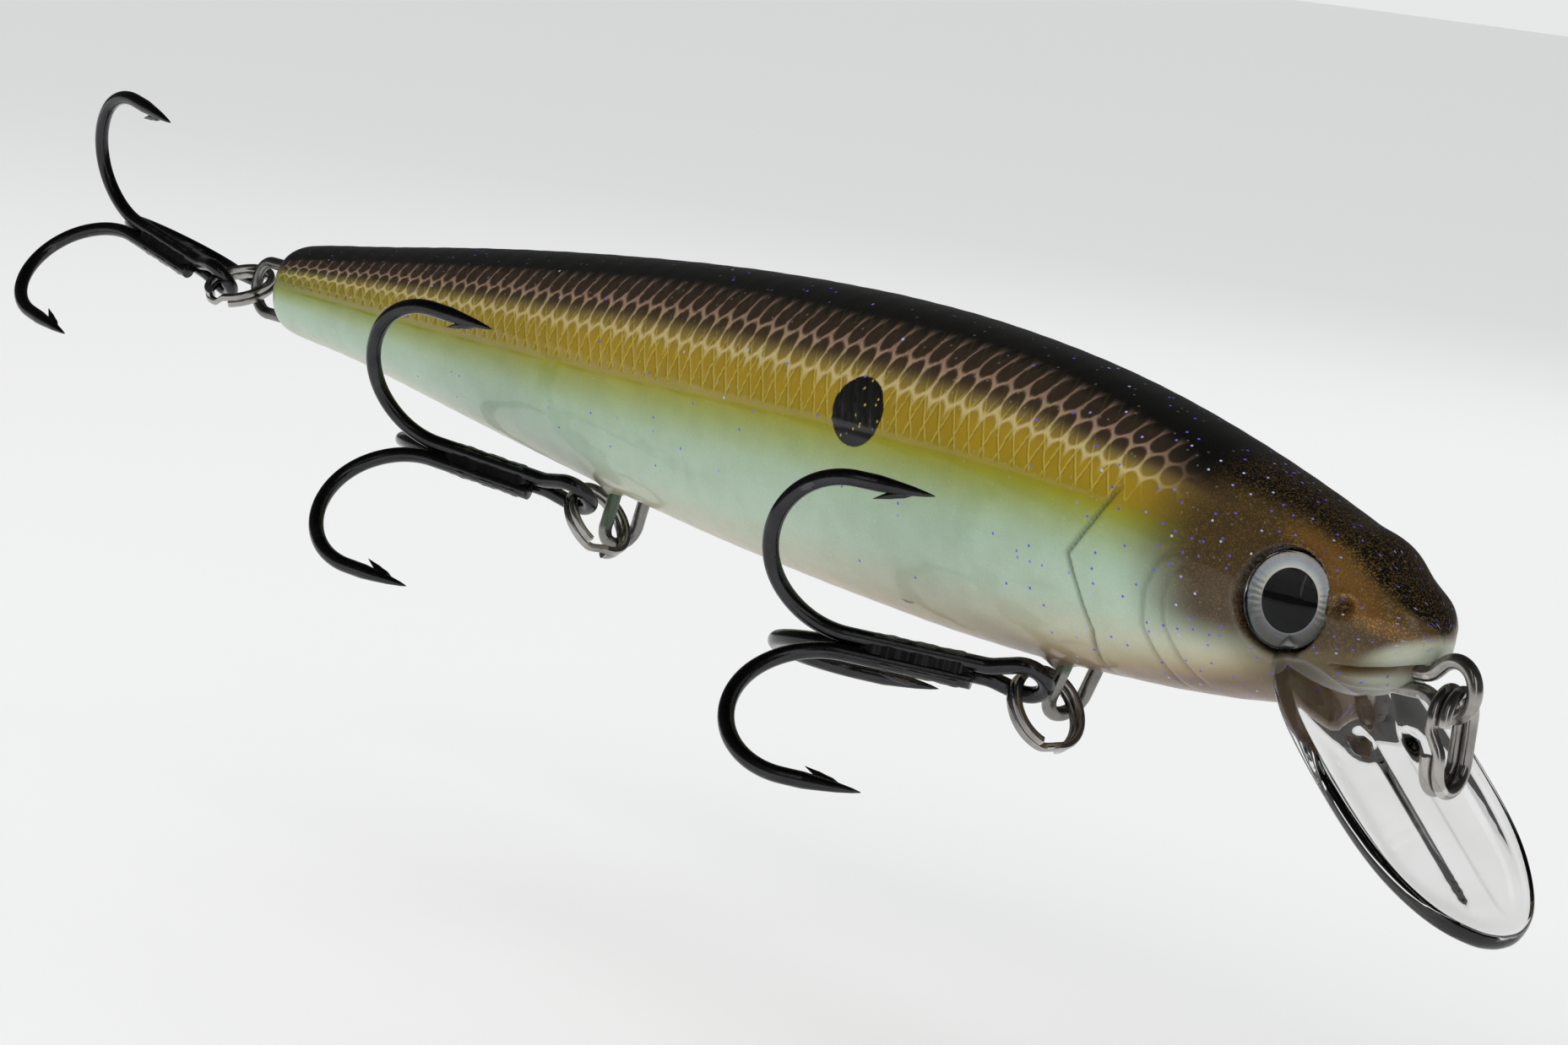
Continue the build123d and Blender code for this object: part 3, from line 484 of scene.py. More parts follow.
    # head
    brown = np.array([lin(60, 46, 20)] * len(x))
    wb = sstep(-21.5, -14.5, x + 0.35 * np.minimum(z + 1, 0)) * sstep(-0.62, -0.22, f + 0.03 * (x + 15) * sstep(-15, -8, x) * 0.4) \
        * (1 - sstep(0.55, 0.8, f) * (1 - sstep(-17.5, -13.0, x)))
    col = blend(col, brown, wb)
    cheek = np.array([lin(92, 80, 50)] * len(x))
    wc = sstep(-14, -8, x) * sstep(-0.98, -0.7, f) * (1 - sstep(-0.6, -0.2, f))
    col = blend(col, cheek, wc * 0.85)
    # gold flake colour, laid on heaviest in a band along the snout ridge: real gold flake, plus a painted highlight
    # where the ridge catches the light
    gold_flake_and_highlight = np.array([lin(134, 88, 30)] * len(x))
    gx = np.interp(z, [-3, -2, -1, 0, 1, 2.2], [-0.8, -2.6, -4.0, -5.0, -6.6, -9.5])
    gold_ridge_highlight_w = np.exp(-((x - gx) / 1.5) ** 2) * sstep(-3.4, -2.0, z) * (1 - sstep(1.4, 2.8, z)) * sstep(-12, -8, x)
    col = blend(col, gold_flake_and_highlight, gold_ridge_highlight_w * 0.42)
    black = np.array([lin(4, 3.5, 3)] * len(x))
    fb = np.interp(x, [-22, -14, -9, -5, -2, 0], [0.80, 0.74, 0.80, 0.74, 0.62, 0.55])
    col = blend(col, black, sstep(0, 0.16, f - fb) * sstep(-24, -18, x))
    mint = np.array([lin(172, 178, 160)] * len(x))
    bz = np.interp(x, [-6, -4.5, -3.2, -2, -1, 0], [-5.2, -4.7, -4.05, -3.35, -2.85, -2.45])
    wl = sstep(-4.0, -1.1, x) * (1 - sstep(-0.35, 0.35, z - bz)) * sstep(-0.25, 0.25, dz + 0.1)
    col = blend(col, mint, wl)
    lw = sstep(-5.6, -2.0, x + 0.5 * (z + 5.5)) * (1 - sstep(-0.35, 0.05, dz))
    col = blend(col, mint, lw * 0.95)
    bz2 = np.array([lin(92, 66, 26)] * len(x))
    col = blend(col, bz2, mw * np.exp(-((dz + 0.05) / 0.22) ** 2) * (1 - sstep(-1.6, -0.9, x)) * 0.9)
    # dark seat round the eye, darker gill creases
    col = blend(col, black, np.exp(-((rad - 2.92) / 0.24) ** 2) * face * 0.95 + (rad < 2.9) * face)
    for (gz, gx_), zlo, zhi, am in ((GILL1, -8.8, 2.2, 0.75), (GILL2, -8.2, -0.8, 0.40), (GILL3, -7.8, -1.6, 0.35)):
        dx = x - np.interp(z, gz, gx_)
        w = sstep(zlo - 0.4, zlo + 0.9, z) * (1 - sstep(zhi - 0.9, zhi + 0.4, z))
        col = blend(col, np.array([lin(48, 66, 40)] * len(x)), am * w * np.exp(-((dx + 0.05) / 0.17) ** 2))
    col = blend(col, black, near * np.exp(-(rr / 0.50) ** 2) * 0.95)
    # green wash over the hanger roots
    for rx, ry, rz in ROOTS:
        dd = np.linalg.norm(p - [rx, ry, rz], axis=1)
        col = blend(col, np.array([lin(70, 84, 62)] * len(x)), 0.8 * np.exp(-(dd / 0.8) ** 2))

    net = sstep(0.28, 0.50, k) * (1 - sstep(1.04, 1.20, k)) * (1 - sstep(-21.5, -16.0, x)) * sstep(-119.5, -116, x)
    glit = np.clip(0.10 + 0.90 * sstep(-34, -15, x), 0, 1)
    V = q3 * [1, side, 1]
    F = []
    idx = np.arange(NROW * NCOL).reshape(NROW, NCOL)
    A, B, C, D = idx[:-1, :-1], idx[1:, :-1], idx[1:, 1:], idx[:-1, 1:]
    quads = np.stack([A, B, C, D], -1).reshape(-1, 4)
    # web on the parting plane, shared only in place, not in vertices
    o = len(V)
    V = np.vstack([V, V[idx[:, 0]], V[idx[:, -1]]])
    tw = np.arange(NROW)
    web = np.stack([o + tw[:-1], o + NROW + tw[:-1], o + NROW + tw[1:], o + tw[1:]], -1)
    # both ends
    nose = [int(v) for v in idx[0]]
    tail = [int(v) for v in idx[-1][::-1]]
    allq = np.vstack([quads, web])
    if side < 0:
        allq = allq[:, ::-1]
        nose, tail = nose[::-1], tail[::-1]
    F = [tuple(int(v) for v in q) for q in allq] + [tuple(nose), tuple(tail)]

    def ext(v):
        v = np.asarray(v, float)
        return np.concatenate([v, v[idx[:, 0]], v[idx[:, -1]]])

    colx = np.vstack([col, col[idx[:, 0]], col[idx[:, -1]]])
    return add_mesh(name, V, F, "lure_body", MAT_BODY, (node,), attrs=dict(
        lp=ext(lp), lq=ext(lq), kk=ext(k), net=ext(net), rgn=ext(rgn), sx=ext(x), ss=ext(s), fr=ext(f), gg=ext(g), glit=ext(glit),
        gold_flake_and_highlight=ext(np.clip(0.95 * gold_ridge_highlight_w + 0.22 * wb, 0, 1)), zz=ext(z)), colors=dict(paint=colx))


def body_material():
    m = Nodes("lure_paint_gloss_coat")
    base = m.attr("paint", "Color")
    lp, lq, k, net, rgn = [m.attr(v) for v in ("lp", "lq", "kk", "net", "rgn")]
    sx, ss, fr, glit, gold_flake_and_highlight, zz = [m.attr(v) for v in ("sx", "ss", "fr", "glit", "gold_flake_and_highlight", "zz")]
    # airbrushed grain
    grain = m.noise(9000.0, 2.0, 0.6)
    soft = m.noise(420.0, 3.0, 0.55)
    c = m.mix(m.smooth(grain, 0.3, 0.7, 0.0, 0.16), base, (0.02, 0.018, 0.012))
    c = m.mix(m.smooth(grain, 0.52, 0.75, 0.0, 0.45), c, (1.7, 1.6, 1.4), "MULTIPLY")
    c = m.mix(m.smooth(soft, 0.35, 0.7, 0.0, 0.10), c, (0.25, 0.24, 0.12), "MULTIPLY")
    # wobble the lattice slightly, as airbrushed by hand
    wob = m.math("MULTIPLY", m.math("SUBTRACT", m.noise(700.0, 1.0), 0.5), 0.16)
    p1, q1 = m.math("ADD", lp, wob), m.math("ADD", lq, wob)

    def line(v, w0, w1):
        fr_ = m.math("FRACT", v)
        d = m.math("ABSOLUTE", m.math("SUBTRACT", fr_, 0.5))      # 0.5 on the line
        return m.smooth(d, w0, w1)

    lines = m.math("MAXIMUM", line(p1, 0.40, 0.49), m.math("MULTIPLY", line(q1, 0.41, 0.49), 0.8))
    shade = m.math("MAXIMUM", line(m.math("ADD", p1, 0.085), 0.42, 0.5), m.math("MULTIPLY", line(m.math("ADD", q1, -0.085), 0.40, 0.5), 1.0))
    lowf = m.math("MULTIPLY", rgn, m.smooth(k, 0.55, 0.85, 1.0, 0.15))
    c = m.mix(m.math("MULTIPLY", m.math("MULTIPLY", shade, lowf), 0.42), c, (0.10, 0.075, 0.012))
    c = m.mix(m.math("MULTIPLY", m.math("MULTIPLY", lines, lowf), 0.40), c, (0.62, 0.50, 0.10))
    # net of large scales along the back: staggered ovals, light lines between them
    a = m.math("MULTIPLY", m.math("SUBTRACT", sx, m.math("MULTIPLY", ss, 0.20)), 1 / 1.5)
    a = m.math("ADD", a, m.math("MULTIPLY", wob, 0.9))
    rowf = m.math("MULTIPLY", m.math("ADD", k, m.math("MULTIPLY", wob, 0.20)), 2.9)

    def cell(da, db):
        u = m.math("SUBTRACT", m.math("FRACT", m.math("ADD", a, da)), 0.5)
        v = m.math("MULTIPLY", m.math("SUBTRACT", m.math("FRACT", m.math("MULTIPLY", m.math("ADD", rowf, db), 0.5)), 0.5), 2.0)
        v = m.math("MULTIPLY", v, 0.86)
        return m.math("SQRT", m.math("ADD", m.math("MULTIPLY", u, u), m.math("MULTIPLY", v, v)))

    d1, d2 = cell(0.0, 0.0), cell(0.5, 1.0)
    edge = m.math("ABSOLUTE", m.math("SUBTRACT", d1, d2))
    d_min = m.math("MINIMUM", d1, d2)
    side_edge = m.smooth(d_min, 0.37, 0.52)
    netl = m.math("MAXIMUM", m.smooth(edge, 0.20, 0.05), side_edge)
    netl = m.math("MULTIPLY", netl, m.smooth(grain, 0.15, 0.6, 0.75, 1.0))
    netc = m.mix(m.smooth(k, 0.55, 0.95), (0.50, 0.40, 0.19), (0.27, 0.165, 0.115))
    c = m.mix(m.math("MULTIPLY", m.math("MULTIPLY", netl, net), 0.80), c, netc)
    cellc = m.mix(m.smooth(k, 0.50, 0.78), (0.20, 0.155, 0.045), (0.030, 0.018, 0.010))
    c = m.mix(m.math("MULTIPLY", m.math("MULTIPLY", m.math("SUBTRACT", 1.0, netl), net), m.smooth(k, 0.50, 0.76, 0.06, 0.80)), c, cellc)
    # black spot behind the gill, with a few flecks of the ground colour
    ex = m.math("MULTIPLY", m.math("SUBTRACT", sx, -44.25), 1 / 2.32)
    ez = m.math("MULTIPLY", m.math("SUBTRACT", zz, 2.62), 1 / 2.18)
    er = m.math("SQRT", m.math("ADD", m.math("MULTIPLY", ex, ex), m.math("MULTIPLY", ez, ez)))
    er = m.math("ADD", er, m.math("MULTIPLY", m.math("SUBTRACT", grain, 0.5), 0.05))
    spot = m.smooth(er, 1.02, 0.97)
    fl = m.voronoi(m.combine(sx, ss), 1.9, "2D")
    flm = m.math("MULTIPLY", m.smooth(fl.outputs["Distance"], 0.20, 0.12), m.math("GREATER_THAN", m.sep(fl.outputs["Color"])[0], 0.80))
    spotc = m.mix(flm, (0.004, 0.004, 0.0035), (0.30, 0.24, 0.03))
    c = m.mix(spot, c, spotc)
    # metallic flake in the head; its mask also holds the snout-ridge band, a painted highlight
    fk1 = m.voronoi(m.coord(), 13500.0)
    flake = m.sep(fk1.outputs["Color"])
    fm = m.math("MULTIPLY", m.math("GREATER_THAN", flake[0], 0.66), gold_flake_and_highlight)
    c = m.mix(m.math("MULTIPLY", fm, 0.55), c, m.mix(flake[1], (0.24, 0.11, 0.018), (0.60, 0.34, 0.075)))
    # round glitter flecks
    uv = m.combine(sx, m.math("ADD", ss, 40.0))
    gv = m.voronoi(uv, 0.92, "2D")
    gc = m.sep(gv.outputs["Color"])
    dot = m.smooth(gv.outputs["Distance"], 0.095, 0.075)
    thr = m.math("SUBTRACT", 0.99, m.math("MULTIPLY", glit, 0.40))
    dot = m.math("MULTIPLY", dot, m.math("GREATER_THAN", gc[0], thr))
    gcol = m.mix(m.smooth(gc[1], 0.55, 0.95), (0.10, 0.07, 0.55), (0.40, 0.42, 0.62))
    c = m.mix(dot, c, gcol)
    gv2 = m.voronoi(uv, 1.45, "2D")
    gc2 = m.sep(gv2.outputs["Color"])
    dot2 = m.math("MULTIPLY", m.smooth(gv2.outputs["Distance"], 0.14, 0.10), m.math("GREATER_THAN", gc2[1], 0.86))
    c = m.mix(m.math("MULTIPLY", dot2, 0.16), c, m.mix(0.6, c, (0.60, 0.64, 0.60)))
    # relief of lattice, flecks and grain under the coat
    hgt = m.math("MULTIPLY", m.math("MULTIPLY", lines, rgn), -1.0)
    hgt = m.math("ADD", hgt, m.math("MULTIPLY", m.math("MULTIPLY", netl, net), 0.5))
    hgt = m.math("ADD", hgt, m.math("MULTIPLY", dot2, 1.1))
    hgt = m.math("ADD", hgt, m.math("MULTIPLY", grain, 0.12))
    nrm = m.bump(hgt, 0.45, 0.00006)
    coatn = m.bump(m.math("ADD", m.math("MULTIPLY", dot2, 0.7), m.math("MULTIPLY", m.math("MULTIPLY", lines, rgn), -0.5)), 0.25, 0.00005)
    m.set(Base_Color=c, Roughness=m.smooth(grain, 0.2, 0.8, 0.34, 0.5), Metallic=m.math("MULTIPLY", fm, 0.7),
          Normal=nrm, IOR=1.5)
    m.b.inputs["Coat Weight"].default_value = 0.42
    m.b.inputs["Specular IOR Level"].default_value = 0.22
    m.b.inputs["Coat Roughness"].default_value = 0.09
    m.b.inputs["Coat IOR"].default_value = 1.5
    m.put(m.b.inputs["Coat Normal"], coatn)
    return m.mat


def metal(name, colour, rough, dark=0.5, scale=3000.0, patina=None, metallic=1.0, coat=0.0):
    m = Nodes(name)
    big = m.noise(scale * 0.12, 4.0, 0.6)
    fine = m.noise(scale, 3.0, 0.6)
    c = m.mix(m.smooth(big, 0.35, 0.72), colour, tuple(v * dark for v in colour))
    if patina:
        c = m.mix(m.smooth(fine, 0.55, 0.78, 0.0, 0.75), c, patina)
    if name == "stainless_hanger":   # paint run down the near leg of the belly loops
        xyz = m.new("ShaderNodeSeparateXYZ")
        m.put(xyz.inputs[0], m.coord())
        run = m.math("MULTIPLY", m.smooth(xyz.outputs[2], -0.0056, -0.0051), m.smooth(xyz.outputs[2], 0.0, -0.0005))
        run = m.math("MULTIPLY", run, m.smooth(xyz.outputs[1], -0.0004, -0.0009))
        c = m.mix(run, c, (0.055, 0.085, 0.050))
        metallic = m.math("SUBTRACT", 1.0, run)
    # lighter colour on convex edges and tips, driven by pointiness
    edge_pointiness = m.new("ShaderNodeNewGeometry").outputs["Pointiness"]
    c = m.mix(m.smooth(edge_pointiness, 0.52, 0.60, 0.0, 0.35), c, tuple(min(v * 2.4 + 0.03, 1.0) for v in colour))
    h = m.math("ADD", fine, m.math("MULTIPLY", big, 0.8))
    m.set(Base_Color=c, Metallic=metallic, Roughness=m.smooth(fine, 0.3, 0.75, rough * 0.75, rough * 1.35),
          Normal=m.bump(h, 0.25, 0.00002))
    m.b.inputs["Coat Weight"].default_value = coat
    m.b.inputs["Coat Roughness"].default_value = 0.15
    return m.mat


def bill_material():
    m = Nodes("clear_moulded_bill")
    n1 = m.noise(260.0, 2.0, 0.5)
    n2 = m.noise(2600.0, 3.0, 0.6)
    # a few moulding specks
    sp = m.voronoi(m.coord(), 900.0)
    speck = m.math("MULTIPLY", m.smooth(sp.outputs["Distance"], 0.09, 0.05), m.math("GREATER_THAN", m.sep(sp.outputs["Color"])[0], 0.86))
    c = m.mix(m.smooth(n1, 0.3, 0.7), (0.955, 0.96, 0.95), (0.90, 0.905, 0.885))
    c = m.mix(m.math("MULTIPLY", speck, 0.7), c, (0.6, 0.6, 0.58))
    m.set(Base_Color=c, Roughness=m.smooth(n2, 0.4, 0.8, 0.0, 0.03), IOR=1.49, Normal=m.bump(n1, 0.25, 0.00008))
    m.b.inputs["Transmission Weight"].default_value = 1.0
    return m.mat


def lens_material():
    m = Nodes("clear_eye_lens")
    n = m.noise(900.0, 2.0)
    m.set(Base_Color=m.mix(m.smooth(n, 0.4, 0.7), (0.99, 0.99, 0.99), (0.95, 0.96, 0.96)), Roughness=m.smooth(n, 0.3, 0.8, 0.0, 0.01), IOR=1.13)
    m.b.inputs["Coat Weight"].default_value = 0.3
    m.b.inputs["Coat Roughness"].default_value = 0.02
    m.b.inputs["Transmission Weight"].default_value = 1.0
    return m.mat


def iris_material():
    m = Nodes("pearly_iris_black_pupil")
    r, t = m.attr("er"), m.attr("ea")
    n = m.noise(1500.0, 3.0)
    rays = m.math("MULTIPLY", m.math("SINE", m.math("ADD", m.math("MULTIPLY", t, 40.0), m.math("MULTIPLY", n, 6.0))), 0.5)
    ring = m.mix(m.smooth(r, 0.62, 0.86), (0.60, 0.60, 0.58), (0.27, 0.285, 0.29))
    ring = m.mix(m.smooth(r, 0.70, 0.62, 0.0, 0.8), ring, (0.80, 0.80, 0.78))
    # faint oil-film colours
    film = m.new("ShaderNodeValToRGB")
    el = film.color_ramp.elements
    el[0].position, el[0].color = 0.0, (0.60, 0.42, 0.45, 1)
    el[1].position, el[1].color = 1.0, (0.40, 0.50, 0.60, 1)
    for p_, c_ in ((0.3, (0.62, 0.55, 0.38, 1)), (0.55, (0.42, 0.58, 0.50, 1)), (0.8, (0.40, 0.44, 0.62, 1))):
        e = film.color_ramp.elements.new(p_)
        e.color = c_
    m.put(film.inputs[0], m.math("FRACT", m.math("ADD", m.math("MULTIPLY", r, 3.1), m.math("MULTIPLY", t, 0.35))))
    ring = m.mix(0.30, ring, film.outputs[0])
    ring = m.mix(m.math("ABSOLUTE", m.math("MULTIPLY", rays, 0.18)), ring, (0.75, 0.75, 0.72))
    c = m.mix(m.smooth(r, 0.625, 0.645), (0.0035, 0.0035, 0.005), ring)
    c = m.mix(m.smooth(r, 0.93, 0.98), c, (0.01, 0.01, 0.01))
    m.put(m.b.inputs["Specular IOR Level"], m.smooth(r, 0.62, 0.66, 0.0, 0.5))
    m.set(Base_Color=c, Roughness=m.smooth(r, 0.62, 0.65, 0.6, 0.28), Metallic=m.smooth(r, 0.62, 0.66, 0.0, 0.65),
          Normal=m.bump(m.math("MULTIPLY", m.math("ADD", n, rays), m.smooth(r, 0.64, 0.70)), 0.2, 0.00003))
    return m.mat


MAT_BODY = body_material()
MAT_BILL = bill_material()
MAT_LENS = lens_material()
MAT_IRIS = iris_material()
MAT_HOOK = metal("black_nickel_hook", (0.040, 0.040, 0.043), 0.24, 0.6, 2600.0, coat=0.35)
MAT_BRAZE = metal("braze_under_black_nickel", (0.034, 0.033, 0.033), 0.38, 0.5, 1700.0, coat=0.25)
MAT_RING = metal("nickel_split_ring", (0.42, 0.405, 0.385), 0.17, 0.55, 2200.0)
MAT_OVAL = metal("nickel_oval_ring", (0.44, 0.42, 0.395), 0.20, 0.55, 2000.0)
MAT_TIE = metal("stainless_line_tie", (0.40, 0.385, 0.36), 0.22, 0.5, 1900.0, patina=(0.20, 0.185, 0.16))
MAT_HANGER = metal("stainless_hanger", (0.24, 0.235, 0.22), 0.27, 0.5, 1900.0, patina=(0.10, 0.10, 0.075))
MAT_WEIGHT = metal("cast_ballast", (0.22, 0.22, 0.225), 0.5, 0.6, 900.0)
MAT_BALL = metal("polished_ball", (0.55, 0.55, 0.56), 0.12, 0.8, 1200.0)

body_half(-1, "right_body_half", "body_shell_right")
body_half(1, "left_body_half", "body_shell_left")


# ------------------------------------------------------------------ eyes
def eye(side, name):
    n = EYE_AX * [1, -side, 1]
    c = EYE * [1, -side, 1]
    u = unit(np.cross([0, 0, 1], n))
    v = np.cross(n, u)
    rings, seg = 22, 96
    V, F, er, ea = [], [], [], []
    R = 2.74
    # iris: shallow dished disc with a thickness
    prof = [(R * i / rings, -1.24 + 0.35 - 0.10 * math.cos(math.pi * i / rings / 2)) for i in range(1, rings + 1)]
    prof += [(R, -1.23)]
    V.append(c + n * (-1.24 + 0.25)); er.append(0); ea.append(0)
    for r_, h_ in prof:
        for k in range(seg):
            t = 2 * math.pi * k / seg
            V.append(c + u * (r_ * math.cos(t)) + v * (r_ * math.sin(t)) + n * h_)
            er.append(r_ / R if h_ > -1.22 else 1.0); ea.append(math.sin(t))
    for k in range(seg):
        F.append((0, 1 + k, 1 + (k + 1) % seg))
    for i in range(len(prof) - 1):
        for k in range(seg):
            l = (k + 1) % seg
            F.append((1 + i * seg + k, 1 + (i + 1) * seg + k, 1 + (i + 1) * seg + l, 1 + i * seg + l))
    V.append(c + n * -1.235); er.append(1); ea.append(0)
    o = 1 + (len(prof) - 1) * seg
    for k in range(seg):
        F.append((len(V) - 1, o + (k + 1) % seg, o + k))
    if side > 0:
        F = [q[::-1] for q in F]
    add_mesh("eye_iris_disc_" + name, np.array(V), F, "lure_body", MAT_IRIS, ("eye_iris_" + name,), sharp=35,
             attrs=dict(er=er, ea=ea))
    # lens: domed crown, rounded shoulder, straight edge, flat back
    D2, z0, dome, rimh = 2.76, -0.87, 1.15, 0.55
    Rs = (D2 ** 2 + dome ** 2) / (2 * dome)
    prof = []
    for i in range(1, 25):
        r_ = (D2 - 0.10) * i / 24
        prof.append((r_, z0 + rimh + dome - (Rs - math.sqrt(Rs ** 2 - r_ ** 2))))
    hr = prof[-1][1]
    for k in range(1, 6):
        a = math.pi / 2 * k / 5
        prof.append((D2 - 0.10 + 0.10 * math.sin(a), hr - 0.12 * (1 - math.cos(a))))
    prof += [(D2, z0 + 0.20), (D2, z0 + 0.05), (D2 - 0.05, z0)]
    for i in range(1, 8):
        prof.append(((D2 - 0.05) * (1 - i / 8), z0))
    V, F = [c + n * (z0 + rimh + dome)], []
    for r_, h_ in prof:
        for k in range(seg):
            t = 2 * math.pi * k / seg
            V.append(c + u * (r_ * math.cos(t)) + v * (r_ * math.sin(t)) + n * h_)
    for k in range(seg):
        F.append((0, 1 + k, 1 + (k + 1) % seg))
    for i in range(len(prof) - 1):
        for k in range(seg):
            l = (k + 1) % seg
            F.append((1 + i * seg + k, 1 + (i + 1) * seg + k, 1 + (i + 1) * seg + l, 1 + i * seg + l))
    V.append(c + n * z0)
    o = 1 + (len(prof) - 1) * seg
    for k in range(seg):
        F.append((len(V) - 1, o + (k + 1) % seg, o + k))
    if side > 0:
        F = [q[::-1] for q in F]
    add_mesh("eye_lens_dome_" + name, np.array(V), F, "lure_body", MAT_LENS, ("eye_lens_" + name,), sharp=40)


eye(-1, "right")
eye(1, "left")

# ------------------------------------------------------------------ diving bill
BA = math.radians(38.9)
BE = np.array([math.cos(BA), 0, -math.sin(BA)])
BN = np.array([math.sin(BA), 0, math.cos(BA)])
BO = np.array([-4.157, 0, -7.93])
OUT = [(-6.2, 3.3), (-5.2, 4.35), (-3.6, 5.25), (-1.4, 6.0), (1.4, 6.35), (4.3, 6.40), (7.0, 6.25), (9.2, 5.85), (11.0, 5.20),
       (12.5, 4.35), (13.7, 3.30), (14.5, 2.20), (15.0, 1.10), (15.15, 0.0)]


def bill():
    ts = [0.0]
    for a, b in zip(OUT[:-1], OUT[1:]):
        ts.append(ts[-1] + math.hypot(b[0] - a[0], b[1] - a[1]))
    tq_ = np.linspace(0, ts[-1], 110)
    so, wo = spline(ts, [a for a, _ in OUT], tq_), spline(ts, [b for _, b in OUT], tq_)
    wo[-1] = 0.0
    outl = [(s, w) for s, w in zip(so, wo)] + [(s, -w) for s, w in zip(so[-2::-1], wo[-2::-1])]
    # straight back edge
    for k in range(1, 24):
        outl.append((so[0], -wo[0] + 2 * wo[0] * k / 24))
    outl = np.array(outl)
    m = len(outl)
    core = np.stack([np.clip(outl[:, 0], -3.0, 9.6), outl[:, 1] * 0.0], 1)
    T = 1.16
    hr = T / 2

    def top(s, y):
        dish = -0.46 * (1 - sstep(3.6, 6.1, np.hypot(y, np.maximum(s - 8.9, 0) * 1.0))) * sstep(-3.0, 1.5, s)
        spine = 0.22 * (1 - sstep(0.85, 1.45, np.abs(y))) * sstep(-3.5, -1.0, s) * (1 - sstep(12.0, 13.6, s))
        # flared root climbing to the chin
        ra = 0.9 * (1 - sstep(-2.2, 2.4, s)) ** 1.15 * (1 - sstep(2.9, 5.7, np.abs(y)))
        side = 0.10 * np.exp(-((s + 3.0) / 2.2) ** 2) * sstep(3.0, 5.2, np.abs(y))
        boss = 0.75 * np.exp(-((s - 1.5) / 0.7) ** 2 - ((np.abs(y) - 1.9) / 0.55) ** 2)
        return 0.15 + dish + spine + ra + side + boss

    def bot(s, y):
        r2 = np.hypot(y, np.maximum(s - 8.9, 0))
        return 0.15 - T - 0.10 * (1 - sstep(3.0, 6.1, r2))

    V, F = [], []
    fr = [0.0, 0.06, 0.12, 0.16, 0.19, 0.22, 0.26, 0.33, 0.42, 0.52, 0.62, 0.71, 0.79, 0.85, 0.90, 0.935]
    edge_in = 0.93
    rows = []
    for q in fr:                                  # upper face, core to rim
        pt = core + (outl - core) * q
        rows.append((pt[:, 0], pt[:, 1], top(pt[:, 0], pt[:, 1])))
    # rounded rim
    tin = core + (outl - core) * 0.935
    ht, hb = top(tin[:, 0], tin[:, 1]), bot(tin[:, 0], tin[:, 1])
    for k in range(1, 12):
        a = math.pi * k / 12
        pt = core + (outl - core) * (0.935 + 0.065 * math.sin(a))
        hm, hd = (ht + hb) / 2, (ht - hb) / 2
        rows.append((pt[:, 0], pt[:, 1], hm + hd * math.cos(a)))
    for q in fr[::-1]:
        pt = core + (outl - core) * q
        rows.append((pt[:, 0], pt[:, 1], bot(pt[:, 0], pt[:, 1])))
    for s_, y_, h_ in rows:
        V.append(BO + np.outer(s_, BE) + np.outer(h_, BN) + np.outer(y_, [0, 1, 0]))
    V = np.vstack(V)
    for i in range(len(rows) - 1):
        for k in range(m):
            l = (k + 1) % m
            F.append((i * m + k, i * m + l, (i + 1) * m + l, (i + 1) * m + k))
    return V, F, m


bv, bf, bm = bill()
bill_ob = add_mesh("clear_diving_bill", bv, bf, "lure_body", MAT_BILL, ("diving_bill",))
import bmesh
bmx = bmesh.new()
bmx.from_mesh(bill_ob.data)
bmesh.ops.remove_doubles(bmx, verts=bmx.verts, dist=0.00002)
bmesh.ops.recalc_face_normals(bmx, faces=bmx.faces)
bmx.to_mesh(bill_ob.data)
bmx.free()


# ------------------------------------------------------------------ wires
def arc3(c, u, v, r, a0, a1, n):
    a = np.linspace(a0, a1, n)
    return c + r * (np.outer(np.cos(a), u) + np.outer(np.sin(a), v))


def chain(*segs):
    out = [np.asarray(segs[0], float)]
    for s_ in segs[1:]:
        s_ = np.asarray(s_, float)
        out.append(s_[1:] if np.linalg.norm(s_[0] - out[-1][-1]) < 1e-6 else s_)
    return np.vstack(out)


def resample(P, step, closed=False):
    P = np.asarray(P, float)
    if closed:
        P = np.vstack([P, P[:1]])
    d = np.concatenate([[0], np.cumsum(np.linalg.norm(np.diff(P, axis=0), axis=1))])
    keep = np.concatenate([[True], np.diff(d) > 1e-6])
    P, d = P[keep], d[keep]
    n = max(int(d[-1] / step), 8)
    q = np.linspace(0, d[-1], n + 1)
    R = np.stack([np.interp(q, d, P[:, k]) for k in range(3)], 1)
    return R[:-1] if closed else R


